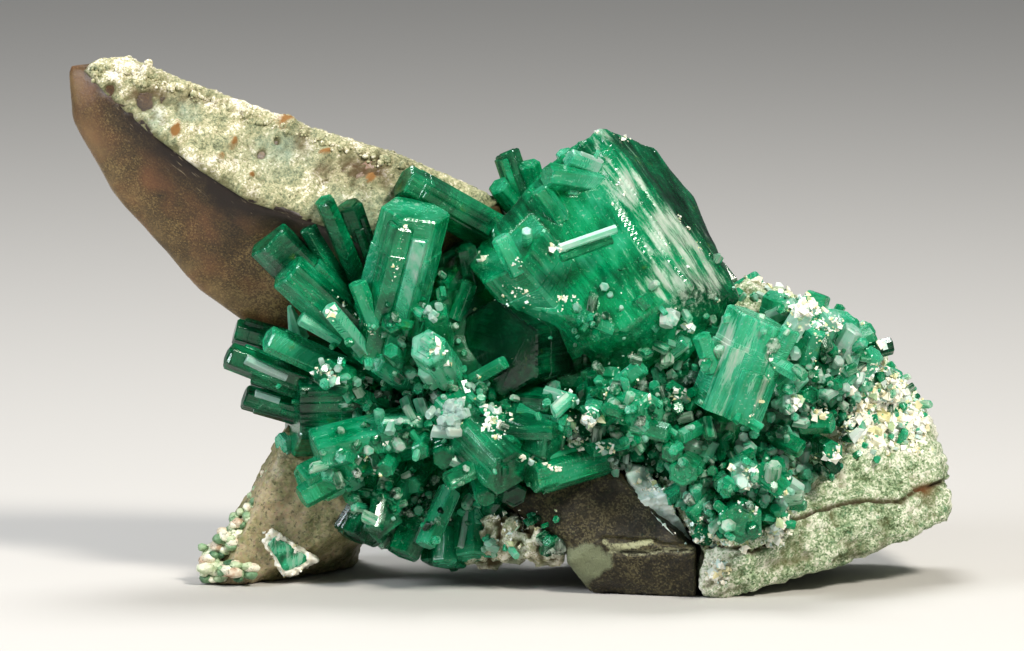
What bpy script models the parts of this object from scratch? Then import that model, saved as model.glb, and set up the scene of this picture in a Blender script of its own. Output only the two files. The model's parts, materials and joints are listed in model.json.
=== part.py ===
"""Emerald prisms grown on smoky quartz and pale feldspar: one cabinet specimen, 200 mm wide.

A place is (across, up, back) in millimetres. Across and up are read on the display side, which is
seen from VIEW_TILT above the horizon, and back is the depth behind the middle of the resting face.
So a place that lies further back stands lower than it looks. The ground is at height 0.
"""

import math
import random
from collections import namedtuple

import bmesh
import bpy
from mathutils import Matrix, Vector, noise

MM = 0.001
VIEW_TILT = math.radians(7.0)
SEED = 7

# The gap cut between two minerals, and how much further than it a sharp corner may be moved.
CLEARANCE = 0.4
SHARPEST_CORNER = 3.0

# The long quartz crystal: its lower edge, front ridge and upper edge along its length, as
# (across, up), then the depth of its axis and half its thickness.
LONG_QUARTZ_SECTIONS = [
    ((-131.5, 114.0), (-128.5, 116.5), (-127.5, 117.5), -1.0, 3.0),
    ((-130.5, 104.5), (-123.0, 110.5), (-119.0, 118.0), 0.0, 10.0),
    ((-122.0, 89.0), (-113.5, 102.0), (-105.5, 112.5), 2.0, 16.0),
    ((-112.0, 77.5), (-101.5, 93.0), (-91.5, 107.5), 4.0, 20.0),
    ((-102.0, 66.5), (-90.5, 86.0), (-77.0, 102.0), 7.0, 23.0),
    ((-88.0, 56.0), (-73.5, 80.5), (-57.0, 96.0), 10.0, 25.0),
    ((-72.5, 47.0), (-56.5, 72.5), (-34.0, 85.5), 13.0, 25.0),
    ((-60.0, 48.0), (-47.0, 66.0), (-30.0, 78.0), 14.0, 15.0),
]
LONG_QUARTZ_TIP = (-131.8, 117.0, -1.0)

# The crust on the long quartz: how far along it starts and ends, in sections, where it starts on
# the upper front face and ends on the top face, as shares of them, how thick it is, and its waves
# as (waves in a millimetre, share of the bump).
CRUST_ALONG = (0.25, 5.95)
CRUST_START, CRUST_END = 0.04, 0.75
CRUST_STEPS_ALONG, CRUST_STEPS_FRONT, CRUST_STEPS_TOP = 28, 4, 3
CRUST_SEAT = 0.6
CRUST_RIM = 1.3
CRUST_THICKNESS = 1.9
CRUST_BUMP = 1.3
CRUST_WAVES = ((0.24, 1.0), (0.6, 0.6))

# The foot quartz: its footprint on the ground as (across, back), and the places above it.
FOOT_PRINT = [
    (-100.5, 2.0), (-97.0, -6.5), (-91.5, -6.5), (-87.0, 5.0), (-70.0, 16.5), (-67.5, 26.0),
    (-68.0, 38.0), (-95.0, 34.0), (-101.5, 15.0),
]
FOOT_UPPER = [
    (-81.5, 37.5, -2.0), (-57.0, 36.5, -4.0), (-57.0, 36.5, 22.0), (-80.0, 38.0, 22.0),
    (-86.0, 23.0, -6.0), (-63.0, 15.0, -4.0), (-94.0, 7.5, -7.0), (-98.5, 4.0, 2.0),
]

# The base quartz: a dome over a block, and the block's flat footprint.
BASE_PRINT = [(-13.0, -19.0), (2.0, -19.5), (10.3, -25.5), (10.5, 34.0), (-16.0, 32.0)]
BASE_BLOCK_UPPER = [
    (-19.0, 9.0, -22.0), (-18.8, 5.0, -23.0), (-17.5, 2.5, -22.0), (-9.5, 10.5, -25.5),
    (-2.0, 7.5, -27.0), (10.3, 8.2, -28.5), (10.5, 12.0, 34.0), (-19.0, 12.0, 30.0),
]
BASE_DOME = [
    (-33.0, 17.5, -12.0), (-28.0, 20.0, -17.0), (-24.0, 22.0, -19.0), (-17.0, 27.0, -19.5),
    (-10.5, 27.0, -20.0), (-2.5, 19.5, -23.0), (7.5, 9.5, -26.0), (-19.0, 9.5, -23.0),
    (-24.0, 12.0, -19.0), (-31.0, 20.0, 22.0), (-20.0, 33.0, 28.0), (6.0, 26.0, 30.0),
    (10.0, 18.0, 30.0), (-22.0, 10.0, 26.0), (10.0, 8.0, -20.0), (10.0, 8.0, 28.0),
]

# The feldspar slab: the plate above the crack and the ledge below it. Each is a front outline
# and a back outline.
PLATE_FRONT = [
    (20.0, 70.0, 6.0), (32.0, 67.0, 8.0), (45.5, 59.0, 9.0), (50.5, 55.0, 9.0), (55.0, 49.5, 9.0),
    (60.5, 43.5, 9.0), (64.0, 36.5, 9.0), (67.5, 28.5, 9.0), (68.2, 23.5, 7.0),
    (65.0, 22.8, 2.0), (47.5, 19.0, -7.0), (31.5, 14.5, -18.0), (11.4, 9.5, -26.5),
    (12.0, 30.0, -16.0), (3.0, 20.5, -20.0), (-1.0, 25.0, -15.0),
]
PLATE_BACK = [
    (22.0, 66.0, 22.0), (50.0, 54.0, 28.0), (66.0, 30.0, 28.0), (66.5, 24.5, 26.0),
    (12.0, 30.0, 31.0), (11.5, 7.0, 31.0), (50.0, 16.0, 31.0),
]
LEDGE_FRONT = [
    (11.0, 8.6, -29.5), (20.5, 11.8, -29.0), (31.5, 14.2, -22.0), (41.0, 17.2, -14.0),
    (47.5, 19.0, -9.5), (64.5, 21.0, -0.5), (69.6, 17.5, 2.0), (69.0, 14.4, 1.0),
    (57.0, 9.6, -6.0), (50.5, 5.8, -10.5), (38.5, 3.4, -17.0), (25.0, -1.2, -24.5),
    (17.8, -3.5, -28.5), (11.0, -3.3, -28.5),
]
LEDGE_BACK = [
    (11.0, 6.5, 30.0), (62.0, 23.0, 28.0), (64.0, 17.5, 24.0), (11.0, 3.8, 31.0),
    (45.0, 9.5, 30.0),
]
SLAB_GRAIN = 2.8
SLAB_BUMP = 0.9
SLAB_WAVES = ((0.16, 1.0), (0.4, 0.3))
SLAB_KEPT = 0.27

# Rounded lumps: the beds that the emeralds grow from, as (place, half sizes across, up, back).
EMERALD_BEDS = [
    ((-34.0, 50.0, 2.0), (31.0, 23.0, 24.0)),
    ((-60.0, 42.0, 2.0), (20.0, 16.0, 15.0)),
    ((-2.0, 62.0, 0.0), (20.0, 24.0, 20.0)),
    ((16.0, 36.0, -8.0), (24.0, 22.0, 19.0)),
    ((34.0, 47.0, -2.0), (18.0, 14.0, 13.0)),
    ((-50.0, 20.0, 2.0), (19.0, 15.0, 14.0)),
    ((20.0, 20.0, -24.0), (14.0, 8.0, 9.0)),
    ((-12.0, 35.0, -12.0), (13.0, 10.0, 13.0)),
    ((-42.0, 69.0, -2.0), (11.0, 10.0, 11.0)),
    ((-36.0, 20.0, -4.0), (9.0, 8.0, 10.0)),
    ((-38.0, 62.0, 20.0), (19.0, 19.0, 17.0)),
    ((-4.0, 36.0, 14.0), (19.0, 14.0, 15.0)),
    ((-36.0, 34.0, 15.0), (16.0, 14.0, 14.0)),
]
PALE_CRUST_LUMPS = [
    ((-31.0, 11.0, -9.0), (9.5, 6.5, 9.0)),
    ((-37.0, 9.0, -6.0), (7.0, 6.0, 8.0)),
    ((-23.5, 9.5, -14.0), (6.5, 6.0, 7.0)),
]
FOOT_CRUST_LUMPS = [
    ((-83.5, 27.0, 2.0), (3.2, 3.2, 3.4)),
    ((-85.5, 24.0, 1.0), (3.0, 2.8, 3.2)),
    ((-87.5, 21.0, 0.0), (2.6, 2.8, 3.0)),
    ((-89.0, 18.0, -1.0), (3.0, 2.6, 3.2)),
    ((-91.0, 15.0, -2.0), (3.0, 2.9, 3.2)),
    ((-93.5, 12.5, -2.5), (3.2, 2.8, 3.4)),
    ((-96.0, 9.5, -3.0), (3.6, 3.0, 3.6)),
    ((-99.0, 6.5, -2.0), (4.2, 3.4, 4.2)),
    ((-98.0, 2.8, -5.0), (4.6, 2.8, 4.0)),
    ((-93.0, 2.6, -7.5), (4.0, 2.6, 3.0)),
]

# How rough the lumps and the beds are, and how many waves of it a lump's half size holds.
LUMP_ROUGHNESS = 0.14
BED_ROUGHNESS = 0.3
LUMP_WAVES = 1.7

# One beryl prism: the places of its foot and its tip, the distance between its flats, its turn
# about its length in degrees, and the size of its tip against its foot.
SLIM = 0.97
Crystal = namedtuple("Crystal", "foot tip width turn slim", defaults=(0.0, SLIM))

# The crown: the largest crystal, whose broken block has a flat face to the left, a striated one to
# the right of its front ridge, and an overhang below.
CROWN_BLOCK = [
    (-11.8, 103.2, -4.0), (-5.7, 101.2, 0.0), (1.1, 98.2, 3.0), (9.8, 87.5, 3.0),
    (11.3, 78.5, -2.0), (20.4, 64.0, -14.0), (-6.8, 94.6, -10.5), (9.1, 67.4, -24.0),
    (-6.8, 57.1, -27.5), (-34.0, 64.0, -22.0), (-36.3, 79.8, -14.4), (-23.8, 93.9, -8.5),
    (-30.0, 48.0, -12.0), (-12.0, 44.0, -14.0), (8.0, 50.0, -16.0), (-20.0, 90.0, 18.0),
    (5.0, 89.0, 20.0), (17.0, 66.0, 22.0), (-34.0, 70.0, 16.0), (-30.0, 48.0, 16.0),
    (5.0, 45.0, 20.0),
]
CROWN = [
    Crystal((-7, 46, 0), (-33, 76.0, -18), 22, 8),
    Crystal((-11.5, 57, 8), (-34, 53, -22), 22),
    Crystal((20, 58, -8), (3.5, 84.0, -9), 9, 10),
    Crystal((22, 59, -6), (9, 77.0, -5), 7, 25),
    Crystal((24, 58, -2), (14.5, 70.5, -2), 6, 40),
]
TOP_CRYSTALS = [
    Crystal((-28.5, 85.5, 4), (-32.5, 97.5, 4), 5.5),
    Crystal((-25, 85.5, 6), (-27.5, 95, 2), 5),
    Crystal((-29.5, 84.5, 4), (-34.5, 90, 0), 5.5),
    Crystal((-17, 91, 5), (-19.5, 97.5, 2), 4),
    Crystal((-10, 90.0, -8), (-23.5, 92, -15), 6),
    Crystal((-8, 92.0, -6), (-18.5, 96, -12), 4.5),
    Crystal((-8, 78.5, -27), (-20.5, 74, -33), 3.4),
    Crystal((-27.5, 72, -20), (-28, 79.5, -25), 2.6),
]
UPPER_LEFT_FAN = [
    Crystal((-56.5, 48, -5), (-86.5, 78, -14), 10.5),
    Crystal((-66, 61.5, -6), (-81, 82.5, -12), 4),
    Crystal((-68, 64, -8), (-77.5, 80.5, -14), 4.2),
    Crystal((-64, 64, -8), (-73.5, 86.5, -18), 4.4),
    Crystal((-60, 61.5, -4), (-68, 85.5, -14), 6.5),
    Crystal((-61.5, 52.5, -12), (-53, 84.5, -22), 15.5),
    Crystal((-34, 78, -6), (-56, 90.5, -14), 8.5),
    Crystal((-56.5, 47, -12), (-82, 70.5, -20), 9),
    Crystal((-64.5, 52.5, -20), (-72.5, 62, -27), 3.8),
    Crystal((-79.5, 55, -8), (-81.5, 62.5, -12), 4.5, 0, 0.3),
]
LEFT_CRYSTALS = [
    Crystal((-72.5, 51, -4), (-94, 57, -6), 6),
    Crystal((-75, 43.5, -8), (-95.5, 51.5, -12), 6.2),
    Crystal((-75, 41.5, -4), (-90, 46.5, -2), 4.5),
    Crystal((-72.5, 36.5, -4), (-92, 42, -6), 5.6),
    Crystal((-68, 47, -10), (-86.5, 55.5, -16), 6),
    Crystal((-52, 40, 0), (-81, 39.5, -6), 20),
    Crystal((-47.5, 35.5, -14), (-75.5, 29, -18), 12),
    Crystal((-63.5, 29, -10), (-78.5, 22, -16), 9.5),
    Crystal((-60, 31, -12), (-69, 25.5, -22), 5.6),
    Crystal((-60, 27.5, -6), (-68, 19, -14), 5.6),
    Crystal((-76, 33, 2), (-84, 31, -3), 5),
    Crystal((-56.5, 32, -14), (-60, 25.5, -24), 4.2),
    Crystal((-50, 34.5, -16), (-52, 29.5, -26), 4.2),
    Crystal((-45, 34.5, -18), (-46.5, 28, -28), 5.6),
]
LOWER_CRYSTALS = [
    Crystal((-54.5, 27.5, -8), (-61, 17, -16), 9),
    Crystal((-56.5, 25.5, -6), (-65, 10.5, -14), 9),
    Crystal((-60, 25.5, 0), (-69, 10.5, -4), 7),
    Crystal((-47.5, 25.5, -4), (-56, 6, -10), 8),
    Crystal((-45.5, 21, -14), (-51, 8.5, -20), 5),
    Crystal((-44, 23, -2), (-47, 4, -8), 10),
    Crystal((-41, 23, -4), (-40.5, 5.5, -12), 8),
]
CENTRE_CRYSTALS = [
    Crystal((-47.5, 53.5, -18), (-48.5, 61.5, -30), 5.6),
    Crystal((-46.5, 48, -18), (-50, 53.5, -34), 8.2),
    Crystal((-56, 55.5, -12), (-58.5, 59, -26), 4.6),
    Crystal((-67.5, 45.5, -12), (-73, 47, -27), 7),
    Crystal((-56, 50, -12), (-58.5, 52.5, -28), 3.4),
    Crystal((-45.5, 39, -18), (-32, 25, -34), 12.5),
    Crystal((-34, 41.5, -16), (-21.5, 40.5, -27), 7),
    Crystal((-36.5, 36.5, -20), (-21.5, 31.5, -31), 9),
    Crystal((-10, 29, -20), (-27, 24, -32), 7),
    Crystal((-34, 25.5, -20), (-30.5, 19.5, -28), 6),
    Crystal((-38.5, 25.5, -16), (-37, 19, -24), 5),
    Crystal((-13.5, 42.5, -22), (0, 38.5, -38), 8.5),
    Crystal((-11.5, 44.5, -20), (-13.5, 38, -36), 4),
]
RIGHT_CRYSTALS = [
    Crystal((16.5, 38.5, -24), (24.5, 60, -24), 15.5),
    Crystal((31.5, 47.5, -4), (36.5, 60.5, -10), 9),
    Crystal((38.5, 47.5, 0), (43.5, 60, -5), 8),
    Crystal((27, 55, -2), (29, 65, -4), 7),
    Crystal((45.5, 44.5, 6), (49.5, 53.5, 4), 5),
    Crystal((52, 38, 6), (55.5, 48, 4), 4.5),
    Crystal((29.5, 41, -14), (31.5, 41, -30), 4.6),
    Crystal((34, 41.5, -10), (36, 42.5, -24), 4.2),
    Crystal((38.5, 31, -10), (41, 30, -24), 4.6),
    Crystal((44, 35.5, -6), (45.5, 36, -16), 3.4),
    Crystal((19.5, 27.5, -16), (21, 24.5, -36), 7),
    Crystal((14.5, 25.5, -16), (17, 22, -36), 4.4),
    Crystal((9, 27.5, -20), (7, 25, -38), 6.4),
    Crystal((4.5, 34.5, -20), (4.5, 29.5, -38), 5),
    Crystal((19.5, 18.5, -16), (20, 14, -38), 10),
]
FOOT_EMERALD = Crystal((-82, 9.0, 4), (-85.5, 6.0, -9), 9, 15)

# Small crystals sown over the beds: bed number, how many, widths, the side they face, and how far
# round from it they stand, in degrees.
FRONT, BACK, TOP = Vector((0, -1, 0.1)), Vector((0, 1, 0.1)), Vector((0.2, 0.3, 1))
SOWN = [
    (3, 20, (2.8, 5.2), FRONT, 75),
    (4, 8, (2.8, 4.6), FRONT, 75),
    (6, 9, (3.0, 5.4), FRONT, 75),
    (7, 4, (3.0, 4.6), FRONT, 75),
    (1, 4, (3.6, 7.0), BACK, 65),
    (2, 5, (5.0, 9.0), BACK, 40),
    (3, 4, (3.6, 7.0), BACK, 65),
    (4, 4, (3.0, 5.0), TOP, 65),
    (5, 4, (3.6, 6.5), BACK, 65),
    (10, 6, (5.0, 9.0), BACK, 65),
]
# A sown crystal starts at this share of its bed's half size, leans this much, and stands this
# many widths out of the bed.
SOWN_FOOT = 0.8
SOWN_LEAN = 0.45
SOWN_STAND = (0.6, 1.4)

# How uneven a prism's six sides are, from which width its end is bevelled, how long the bevel is
# against the width, how far it goes in against its length, and the share of faces that is kept.
SIDE_REACH = (0.88, 1.08)
BEVELLED_WIDTH = 6.0
BEVEL_SHARE = 0.09
BEVEL_SLOPE = 1.6
CLUSTER_KEPT = 0.77

Finish = namedtuple("Finish", "colour roughness")
SMOKY_QUARTZ = Finish((0.19, 0.14, 0.075), 0.35)
DARK_QUARTZ = Finish((0.045, 0.037, 0.022), 0.35)
FELDSPAR = Finish((0.56, 0.58, 0.42), 0.75)
CRUST = Finish((0.50, 0.52, 0.34), 0.85)
NODULES = Finish((0.38, 0.48, 0.30), 0.6)
EMERALD = Finish((0.012, 0.20, 0.085), 0.12)


def point(place):
    """Returns a place as a point in metres."""
    across, up, back = place
    height = (up - back * math.sin(VIEW_TILT)) / math.cos(VIEW_TILT)
    return Vector((across, back, height)) * MM


def on_ground(print_outline):
    """Returns the points of a footprint, at height 0."""
    return [Vector((across, back, 0.0)) * MM for across, back in print_outline]


def material(name, finish):
    """Returns a plain material of one colour."""
    made = bpy.data.materials.new(name)
    made.use_nodes = True
    shader = made.node_tree.nodes["Principled BSDF"]
    shader.inputs["Base Color"].default_value = (*finish.colour, 1.0)
    shader.inputs["Roughness"].default_value = finish.roughness
    shader.inputs["Metallic"].default_value = 0.0
    made.diffuse_color = (*finish.colour, 1.0)
    return made


def piece(name, bm, finish):
    """Makes an object of a mesh under construction, with outward faces and its own material."""
    bmesh.ops.recalc_face_normals(bm, faces=bm.faces)
    mesh = bpy.data.meshes.new(name)
    bm.to_mesh(mesh)
    bm.free()
    made = bpy.data.objects.new(name, mesh)
    bpy.context.scene.collection.objects.link(made)
    made.data.materials.append(material(name, finish))
    return made


def settle(made):
    """Applies the modifiers of an object."""
    evaluated = made.evaluated_get(bpy.context.evaluated_depsgraph_get())
    mesh = bpy.data.meshes.new_from_object(evaluated)
    made.modifiers.clear()
    made.data = mesh


def combine(made, other, operation, solver="EXACT"):
    """Joins another object to this one or cuts it away, and removes the other."""
    boolean = made.modifiers.new(operation.title(), "BOOLEAN")
    boolean.operation = operation
    boolean.solver = solver
    boolean.use_self = True
    boolean.object = other
    settle(made)
    bpy.data.objects.remove(other)


def swollen(made, margin):
    """Returns a copy that is larger all round by a margin."""
    bm = bmesh.new()
    bm.from_mesh(made.data)
    bmesh.ops.triangulate(bm, faces=bm.faces)
    bm.normal_update()
    moves = [v.normal * min(v.calc_shell_factor(), SHARPEST_CORNER) * margin * MM for v in bm.verts]
    for vertex, move in zip(bm.verts, moves):
        vertex.co += move
    return piece("clearance_of_" + made.name, bm, EMERALD)


def keep_clear(made, neighbours):
    """Cuts each neighbour, with its clearance, out of a piece.

    The second, thinner cut takes away the slivers that the first one can leave inside a corner.
    """
    for neighbour in neighbours:
        for margin in (CLEARANCE, CLEARANCE / 4):
            combine(made, swollen(neighbour, margin), "DIFFERENCE", "MANIFOLD")


def thin_out(made, share):
    """Keeps a share of the faces and drops the ones that matter least."""
    thin = made.modifiers.new("Fewer faces", "DECIMATE")
    thin.ratio = share
    settle(made)


def keep_largest(made):
    """Drops the crumbs that the cuts have parted from the main body."""
    bm = bmesh.new()
    bm.from_mesh(made.data)
    left = set(bm.verts)
    bodies = []
    while left:
        body, front = set(), [left.pop()]
        while front:
            vertex = front.pop()
            body.add(vertex)
            near = {edge.other_vert(vertex) for edge in vertex.link_edges} & left
            left -= near
            front.extend(near)
        bodies.append(body)
    largest = max(bodies, key=len)
    bmesh.ops.delete(bm, geom=[v for v in bm.verts if v not in largest], context="VERTS")
    bm.to_mesh(made.data)
    bm.free()


def ripple_at(place, waves):
    """Returns the height of a rough surface at a place, from about -1 to 1."""
    return sum(share * noise.noise(place / MM * size) for size, share in waves)


def add_hull(bm, points):
    """Adds the tightest flat-faced body round some points."""
    corners = [bm.verts.new(p) for p in points]
    found = bmesh.ops.convex_hull(bm, input=corners, use_existing_faces=False)
    inner = [e for e in found["geom_interior"] if isinstance(e, bmesh.types.BMVert)]
    bmesh.ops.delete(bm, geom=inner, context="VERTS")


def add_lump(bm, centre, half_sizes, rng, rough=LUMP_ROUGHNESS):
    """Adds a rounded lump with uneven facets."""
    across, up, back = half_sizes
    sphere = bmesh.ops.create_icosphere(bm, subdivisions=2, radius=1.0)
    middle, shift = point(centre), Vector((rng.random(), rng.random(), rng.random())) * 20
    for vertex in sphere["verts"]:
        swell = 1.0 + rough * noise.noise(vertex.co * LUMP_WAVES + shift)
        scaled = Vector((vertex.co.x * across, vertex.co.y * back, vertex.co.z * up))
        vertex.co = middle + scaled * swell * MM


def hexagon(width, rng):
    """Returns the six corners of a hexagon of 120 degree angles and slightly uneven sides."""
    reach = [width / 2 * rng.uniform(*SIDE_REACH) for _ in range(6)]
    corners = []
    for side in range(6):
        turn = math.radians(60 * side)
        here, after = reach[side], reach[(side + 1) % 6]
        along = (after - here * math.cos(math.radians(60))) / math.sin(math.radians(60))
        corner = Vector((here, along, 0))
        corners.append(Matrix.Rotation(turn, 3, "Z") @ corner)
    return corners


def add_prism(bm, foot, tip, width, turn, slim, rng, bevelled):
    """Adds a six-sided prism from foot to tip, with a narrow bevel round its flat end."""
    axis = tip - foot
    frame = axis.to_track_quat("Z", "Y") @ Matrix.Rotation(math.radians(turn), 3, "Z").to_quaternion()
    outline = hexagon(width * MM, rng)
    bevel = BEVEL_SHARE * width * MM if bevelled else 0.0
    rings = [(0.0, 1.0), (axis.length - bevel, slim)]
    if bevelled:
        rings.append((axis.length, slim - BEVEL_SLOPE * BEVEL_SHARE))
    made = []
    for height, size in rings:
        ring = [foot + frame @ (corner * size + Vector((0, 0, height))) for corner in outline]
        made.append([bm.verts.new(p) for p in ring])
    bm.faces.new(reversed(made[0]))
    bm.faces.new(made[-1])
    for lower, upper in zip(made, made[1:]):
        for side in range(6):
            after = (side + 1) % 6
            bm.faces.new((lower[side], lower[after], upper[after], upper[side]))


def add_crystal(bm, crystal, rng):
    """Adds one listed crystal."""
    foot, tip = point(crystal.foot), point(crystal.tip)
    bevelled = crystal.width > BEVELLED_WIDTH
    add_prism(bm, foot, tip, crystal.width, crystal.turn, crystal.slim, rng, bevelled)


def sow(bm, bed, count, widths, side, spread, rng):
    """Adds small prisms that stand out of a bed on one of its sides."""
    centre, (across, up, back) = bed
    placed = 0
    while placed < count:
        out = Vector((rng.gauss(0, 1), rng.gauss(0, 1), rng.gauss(0, 1))).normalized()
        if out.angle(side) > math.radians(spread):
            continue
        width = rng.uniform(*widths)
        surface = Vector((out.x * across, out.y * back, out.z * up)) * MM
        lean = Vector((rng.uniform(-1, 1), rng.uniform(-1, 1), rng.uniform(-1, 1))) * SOWN_LEAN
        way = (out + lean).normalized()
        foot = point(centre) + surface * SOWN_FOOT
        tip = point(centre) + surface + way * width * rng.uniform(*SOWN_STAND) * MM
        add_prism(bm, foot, tip, width, rng.uniform(0, 60), SLIM, rng, False)
        placed += 1


def cut_at_ground(made):
    """Cuts off whatever reaches below the ground, which also clears any fold in the surface."""
    bm = bmesh.new()
    bmesh.ops.create_cube(bm, size=1.0)
    for vertex in bm.verts:
        vertex.co.z += 0.5
    combine(made, piece("room_above_ground", bm, CRUST), "INTERSECT")


def section_corners(section):
    """Returns the six corners of the long quartz at one of its sections."""
    lower, ridge, upper, depth, half = section
    middle = ((lower[0] + upper[0]) / 2, (lower[1] + upper[1]) / 2)
    far = (2 * middle[0] - ridge[0], 2 * middle[1] - ridge[1])
    return [
        point((*ridge, depth - half)),
        point((*upper, depth - half / 2)),
        point((*upper, depth + half / 2)),
        point((*far, depth + half)),
        point((*lower, depth + half / 2)),
        point((*lower, depth - half / 2)),
    ]


def ring_at(along):
    """Returns the six corners of the long quartz at a place along it, in sections."""
    part = min(int(along), len(LONG_QUARTZ_SECTIONS) - 2)
    near, far = LONG_QUARTZ_SECTIONS[part:part + 2]
    pairs = zip(section_corners(near), section_corners(far))
    return [a.lerp(b, along - part) for a, b in pairs]


def make_long_quartz():
    """The long quartz crystal: six faces that taper and curve a little to its tip."""
    bm = bmesh.new()
    last = len(LONG_QUARTZ_SECTIONS) - 1
    rings = [[bm.verts.new(p) for p in ring_at(half / 2)] for half in range(2 * last + 1)]
    tip = bm.verts.new(point(LONG_QUARTZ_TIP))
    for side in range(6):
        after = (side + 1) % 6
        bm.faces.new((tip, rings[0][after], rings[0][side]))
        for near, far in zip(rings, rings[1:]):
            bm.faces.new((near[side], near[after], far[after], far[side]))
    bm.faces.new(rings[-1])
    bmesh.ops.triangulate(bm, faces=bm.faces)
    return piece("long_quartz", bm, SMOKY_QUARTZ)


def make_quartz_crust():
    """The crust: a bumpy skin over the upper front face and the top face of the long quartz."""
    front = [CRUST_START + (1 - CRUST_START) * j / CRUST_STEPS_FRONT for j in range(CRUST_STEPS_FRONT)]
    top = [CRUST_END * j / CRUST_STEPS_TOP for j in range(CRUST_STEPS_TOP + 1)]
    places = [(0, share) for share in front] + [(1, share) for share in top]
    bm = bmesh.new()
    inner, outer = [], []
    for i in range(CRUST_STEPS_ALONG + 1):
        ring = ring_at(CRUST_ALONG[0] + (CRUST_ALONG[1] - CRUST_ALONG[0]) * i / CRUST_STEPS_ALONG)
        core = sum(ring, Vector()) / 6
        inner.append([])
        outer.append([])
        for j, (face, share) in enumerate(places):
            seat = ring[face].lerp(ring[face + 1], share)
            out = (seat - core).normalized()
            bump = CRUST_BUMP * ripple_at(seat, CRUST_WAVES)
            at_rim = i in (0, CRUST_STEPS_ALONG) or j in (0, len(places) - 1)
            thick = CRUST_RIM if at_rim else max(CRUST_THICKNESS + bump, CRUST_RIM)
            inner[i].append(bm.verts.new(seat + out * CRUST_SEAT * MM))
            outer[i].append(bm.verts.new(seat + out * thick * MM))
    last = len(places) - 1
    for i in range(CRUST_STEPS_ALONG):
        for skin in (inner, outer):
            for j in range(last):
                bm.faces.new((skin[i][j], skin[i][j + 1], skin[i + 1][j + 1], skin[i + 1][j]))
        for j in (0, last):
            bm.faces.new((inner[i][j], inner[i + 1][j], outer[i + 1][j], outer[i][j]))
    for i in (0, CRUST_STEPS_ALONG):
        for j in range(last):
            bm.faces.new((inner[i][j], inner[i][j + 1], outer[i][j + 1], outer[i][j]))
    return piece("quartz_crust", bm, CRUST)


def make_foot_quartz():
    """The quartz crystal that comes down to the ground at the left."""
    bm = bmesh.new()
    add_hull(bm, on_ground(FOOT_PRINT) + [point(p) for p in FOOT_UPPER])
    return piece("foot_quartz", bm, SMOKY_QUARTZ)


def make_base_quartz():
    """The dark quartz under the middle: a dome over a block with a flat resting face."""
    bm = bmesh.new()
    add_hull(bm, on_ground(BASE_PRINT) + [point(p) for p in BASE_BLOCK_UPPER])
    made = piece("base_quartz", bm, DARK_QUARTZ)
    dome = bmesh.new()
    add_hull(dome, [point(p) for p in BASE_DOME])
    combine(made, piece("dome", dome, DARK_QUARTZ), "UNION")
    return made


def make_matrix_slab(base_quartz):
    """The feldspar slab: a plate and the ledge below its crack, with a rough surface."""
    bm = bmesh.new()
    for outline in (PLATE_FRONT + PLATE_BACK, LEDGE_FRONT + LEDGE_BACK):
        add_hull(bm, [point(p) for p in outline])
    made = piece("matrix_slab", bm, FELDSPAR)
    remesh = made.modifiers.new("Grain", "REMESH")
    remesh.mode = "VOXEL"
    remesh.voxel_size = SLAB_GRAIN * MM
    settle(made)
    made.data.update()
    for vertex, normal in zip(made.data.vertices, [v.normal.copy() for v in made.data.vertices]):
        vertex.co += normal * ripple_at(vertex.co, SLAB_WAVES) * SLAB_BUMP * MM
    thin_out(made, SLAB_KEPT)
    cut_at_ground(made)
    keep_clear(made, [base_quartz])
    keep_largest(made)
    return made


def make_lumps(name, lumps, finish, neighbours):
    """A piece made of rounded lumps that run into each other."""
    rng = random.Random(SEED)
    first = bmesh.new()
    add_lump(first, *lumps[0], rng)
    others = bmesh.new()
    for lump in lumps[1:]:
        add_lump(others, *lump, rng)
    made = piece(name, first, finish)
    combine(made, piece(name + "_rest", others, finish), "UNION")
    cut_at_ground(made)
    keep_clear(made, neighbours)
    keep_largest(made)
    return made


def make_emerald_cluster(neighbours):
    """All the emeralds that overlap, joined in one body."""
    rng = random.Random(SEED)
    beds = bmesh.new()
    add_hull(beds, [point(p) for p in CROWN_BLOCK])
    for centre, half_sizes in EMERALD_BEDS:
        add_lump(beds, centre, half_sizes, rng, BED_ROUGHNESS)
    crystals = bmesh.new()
    groups = (
        CROWN, TOP_CRYSTALS, UPPER_LEFT_FAN, LEFT_CRYSTALS, LOWER_CRYSTALS, CENTRE_CRYSTALS,
        RIGHT_CRYSTALS,
    )
    for group in groups:
        for crystal in group:
            add_crystal(crystals, crystal, rng)
    for bed, count, widths, side, spread in SOWN:
        sow(crystals, EMERALD_BEDS[bed], count, widths, side, spread, rng)
    made = piece("emerald_cluster", beds, EMERALD)
    combine(made, piece("crystals", crystals, EMERALD), "UNION")
    thin_out(made, CLUSTER_KEPT)
    keep_clear(made, neighbours)
    keep_largest(made)
    return made


def make_foot_emerald(foot_quartz):
    """The single emerald set in the face of the foot quartz."""
    bm = bmesh.new()
    add_crystal(bm, FOOT_EMERALD, random.Random(SEED))
    made = piece("foot_emerald", bm, EMERALD)
    keep_clear(made, [foot_quartz])
    keep_largest(made)
    return made


def build():
    """Makes the nine pieces of the specimen."""
    for old in list(bpy.data.objects):
        bpy.data.objects.remove(old)
    long_quartz = make_long_quartz()
    foot_quartz = make_foot_quartz()
    base_quartz = make_base_quartz()
    quartz_crust = make_quartz_crust()
    matrix_slab = make_matrix_slab(base_quartz)
    foot_emerald = make_foot_emerald(foot_quartz)
    foot_crust = make_lumps("foot_crust", FOOT_CRUST_LUMPS, NODULES, [foot_quartz, foot_emerald])
    pale_crust = make_lumps("pale_crust", PALE_CRUST_LUMPS, CRUST, [base_quartz])
    make_emerald_cluster(
        [long_quartz, quartz_crust, foot_quartz, foot_crust, base_quartz, matrix_slab, pale_crust]
    )


build()
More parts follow.
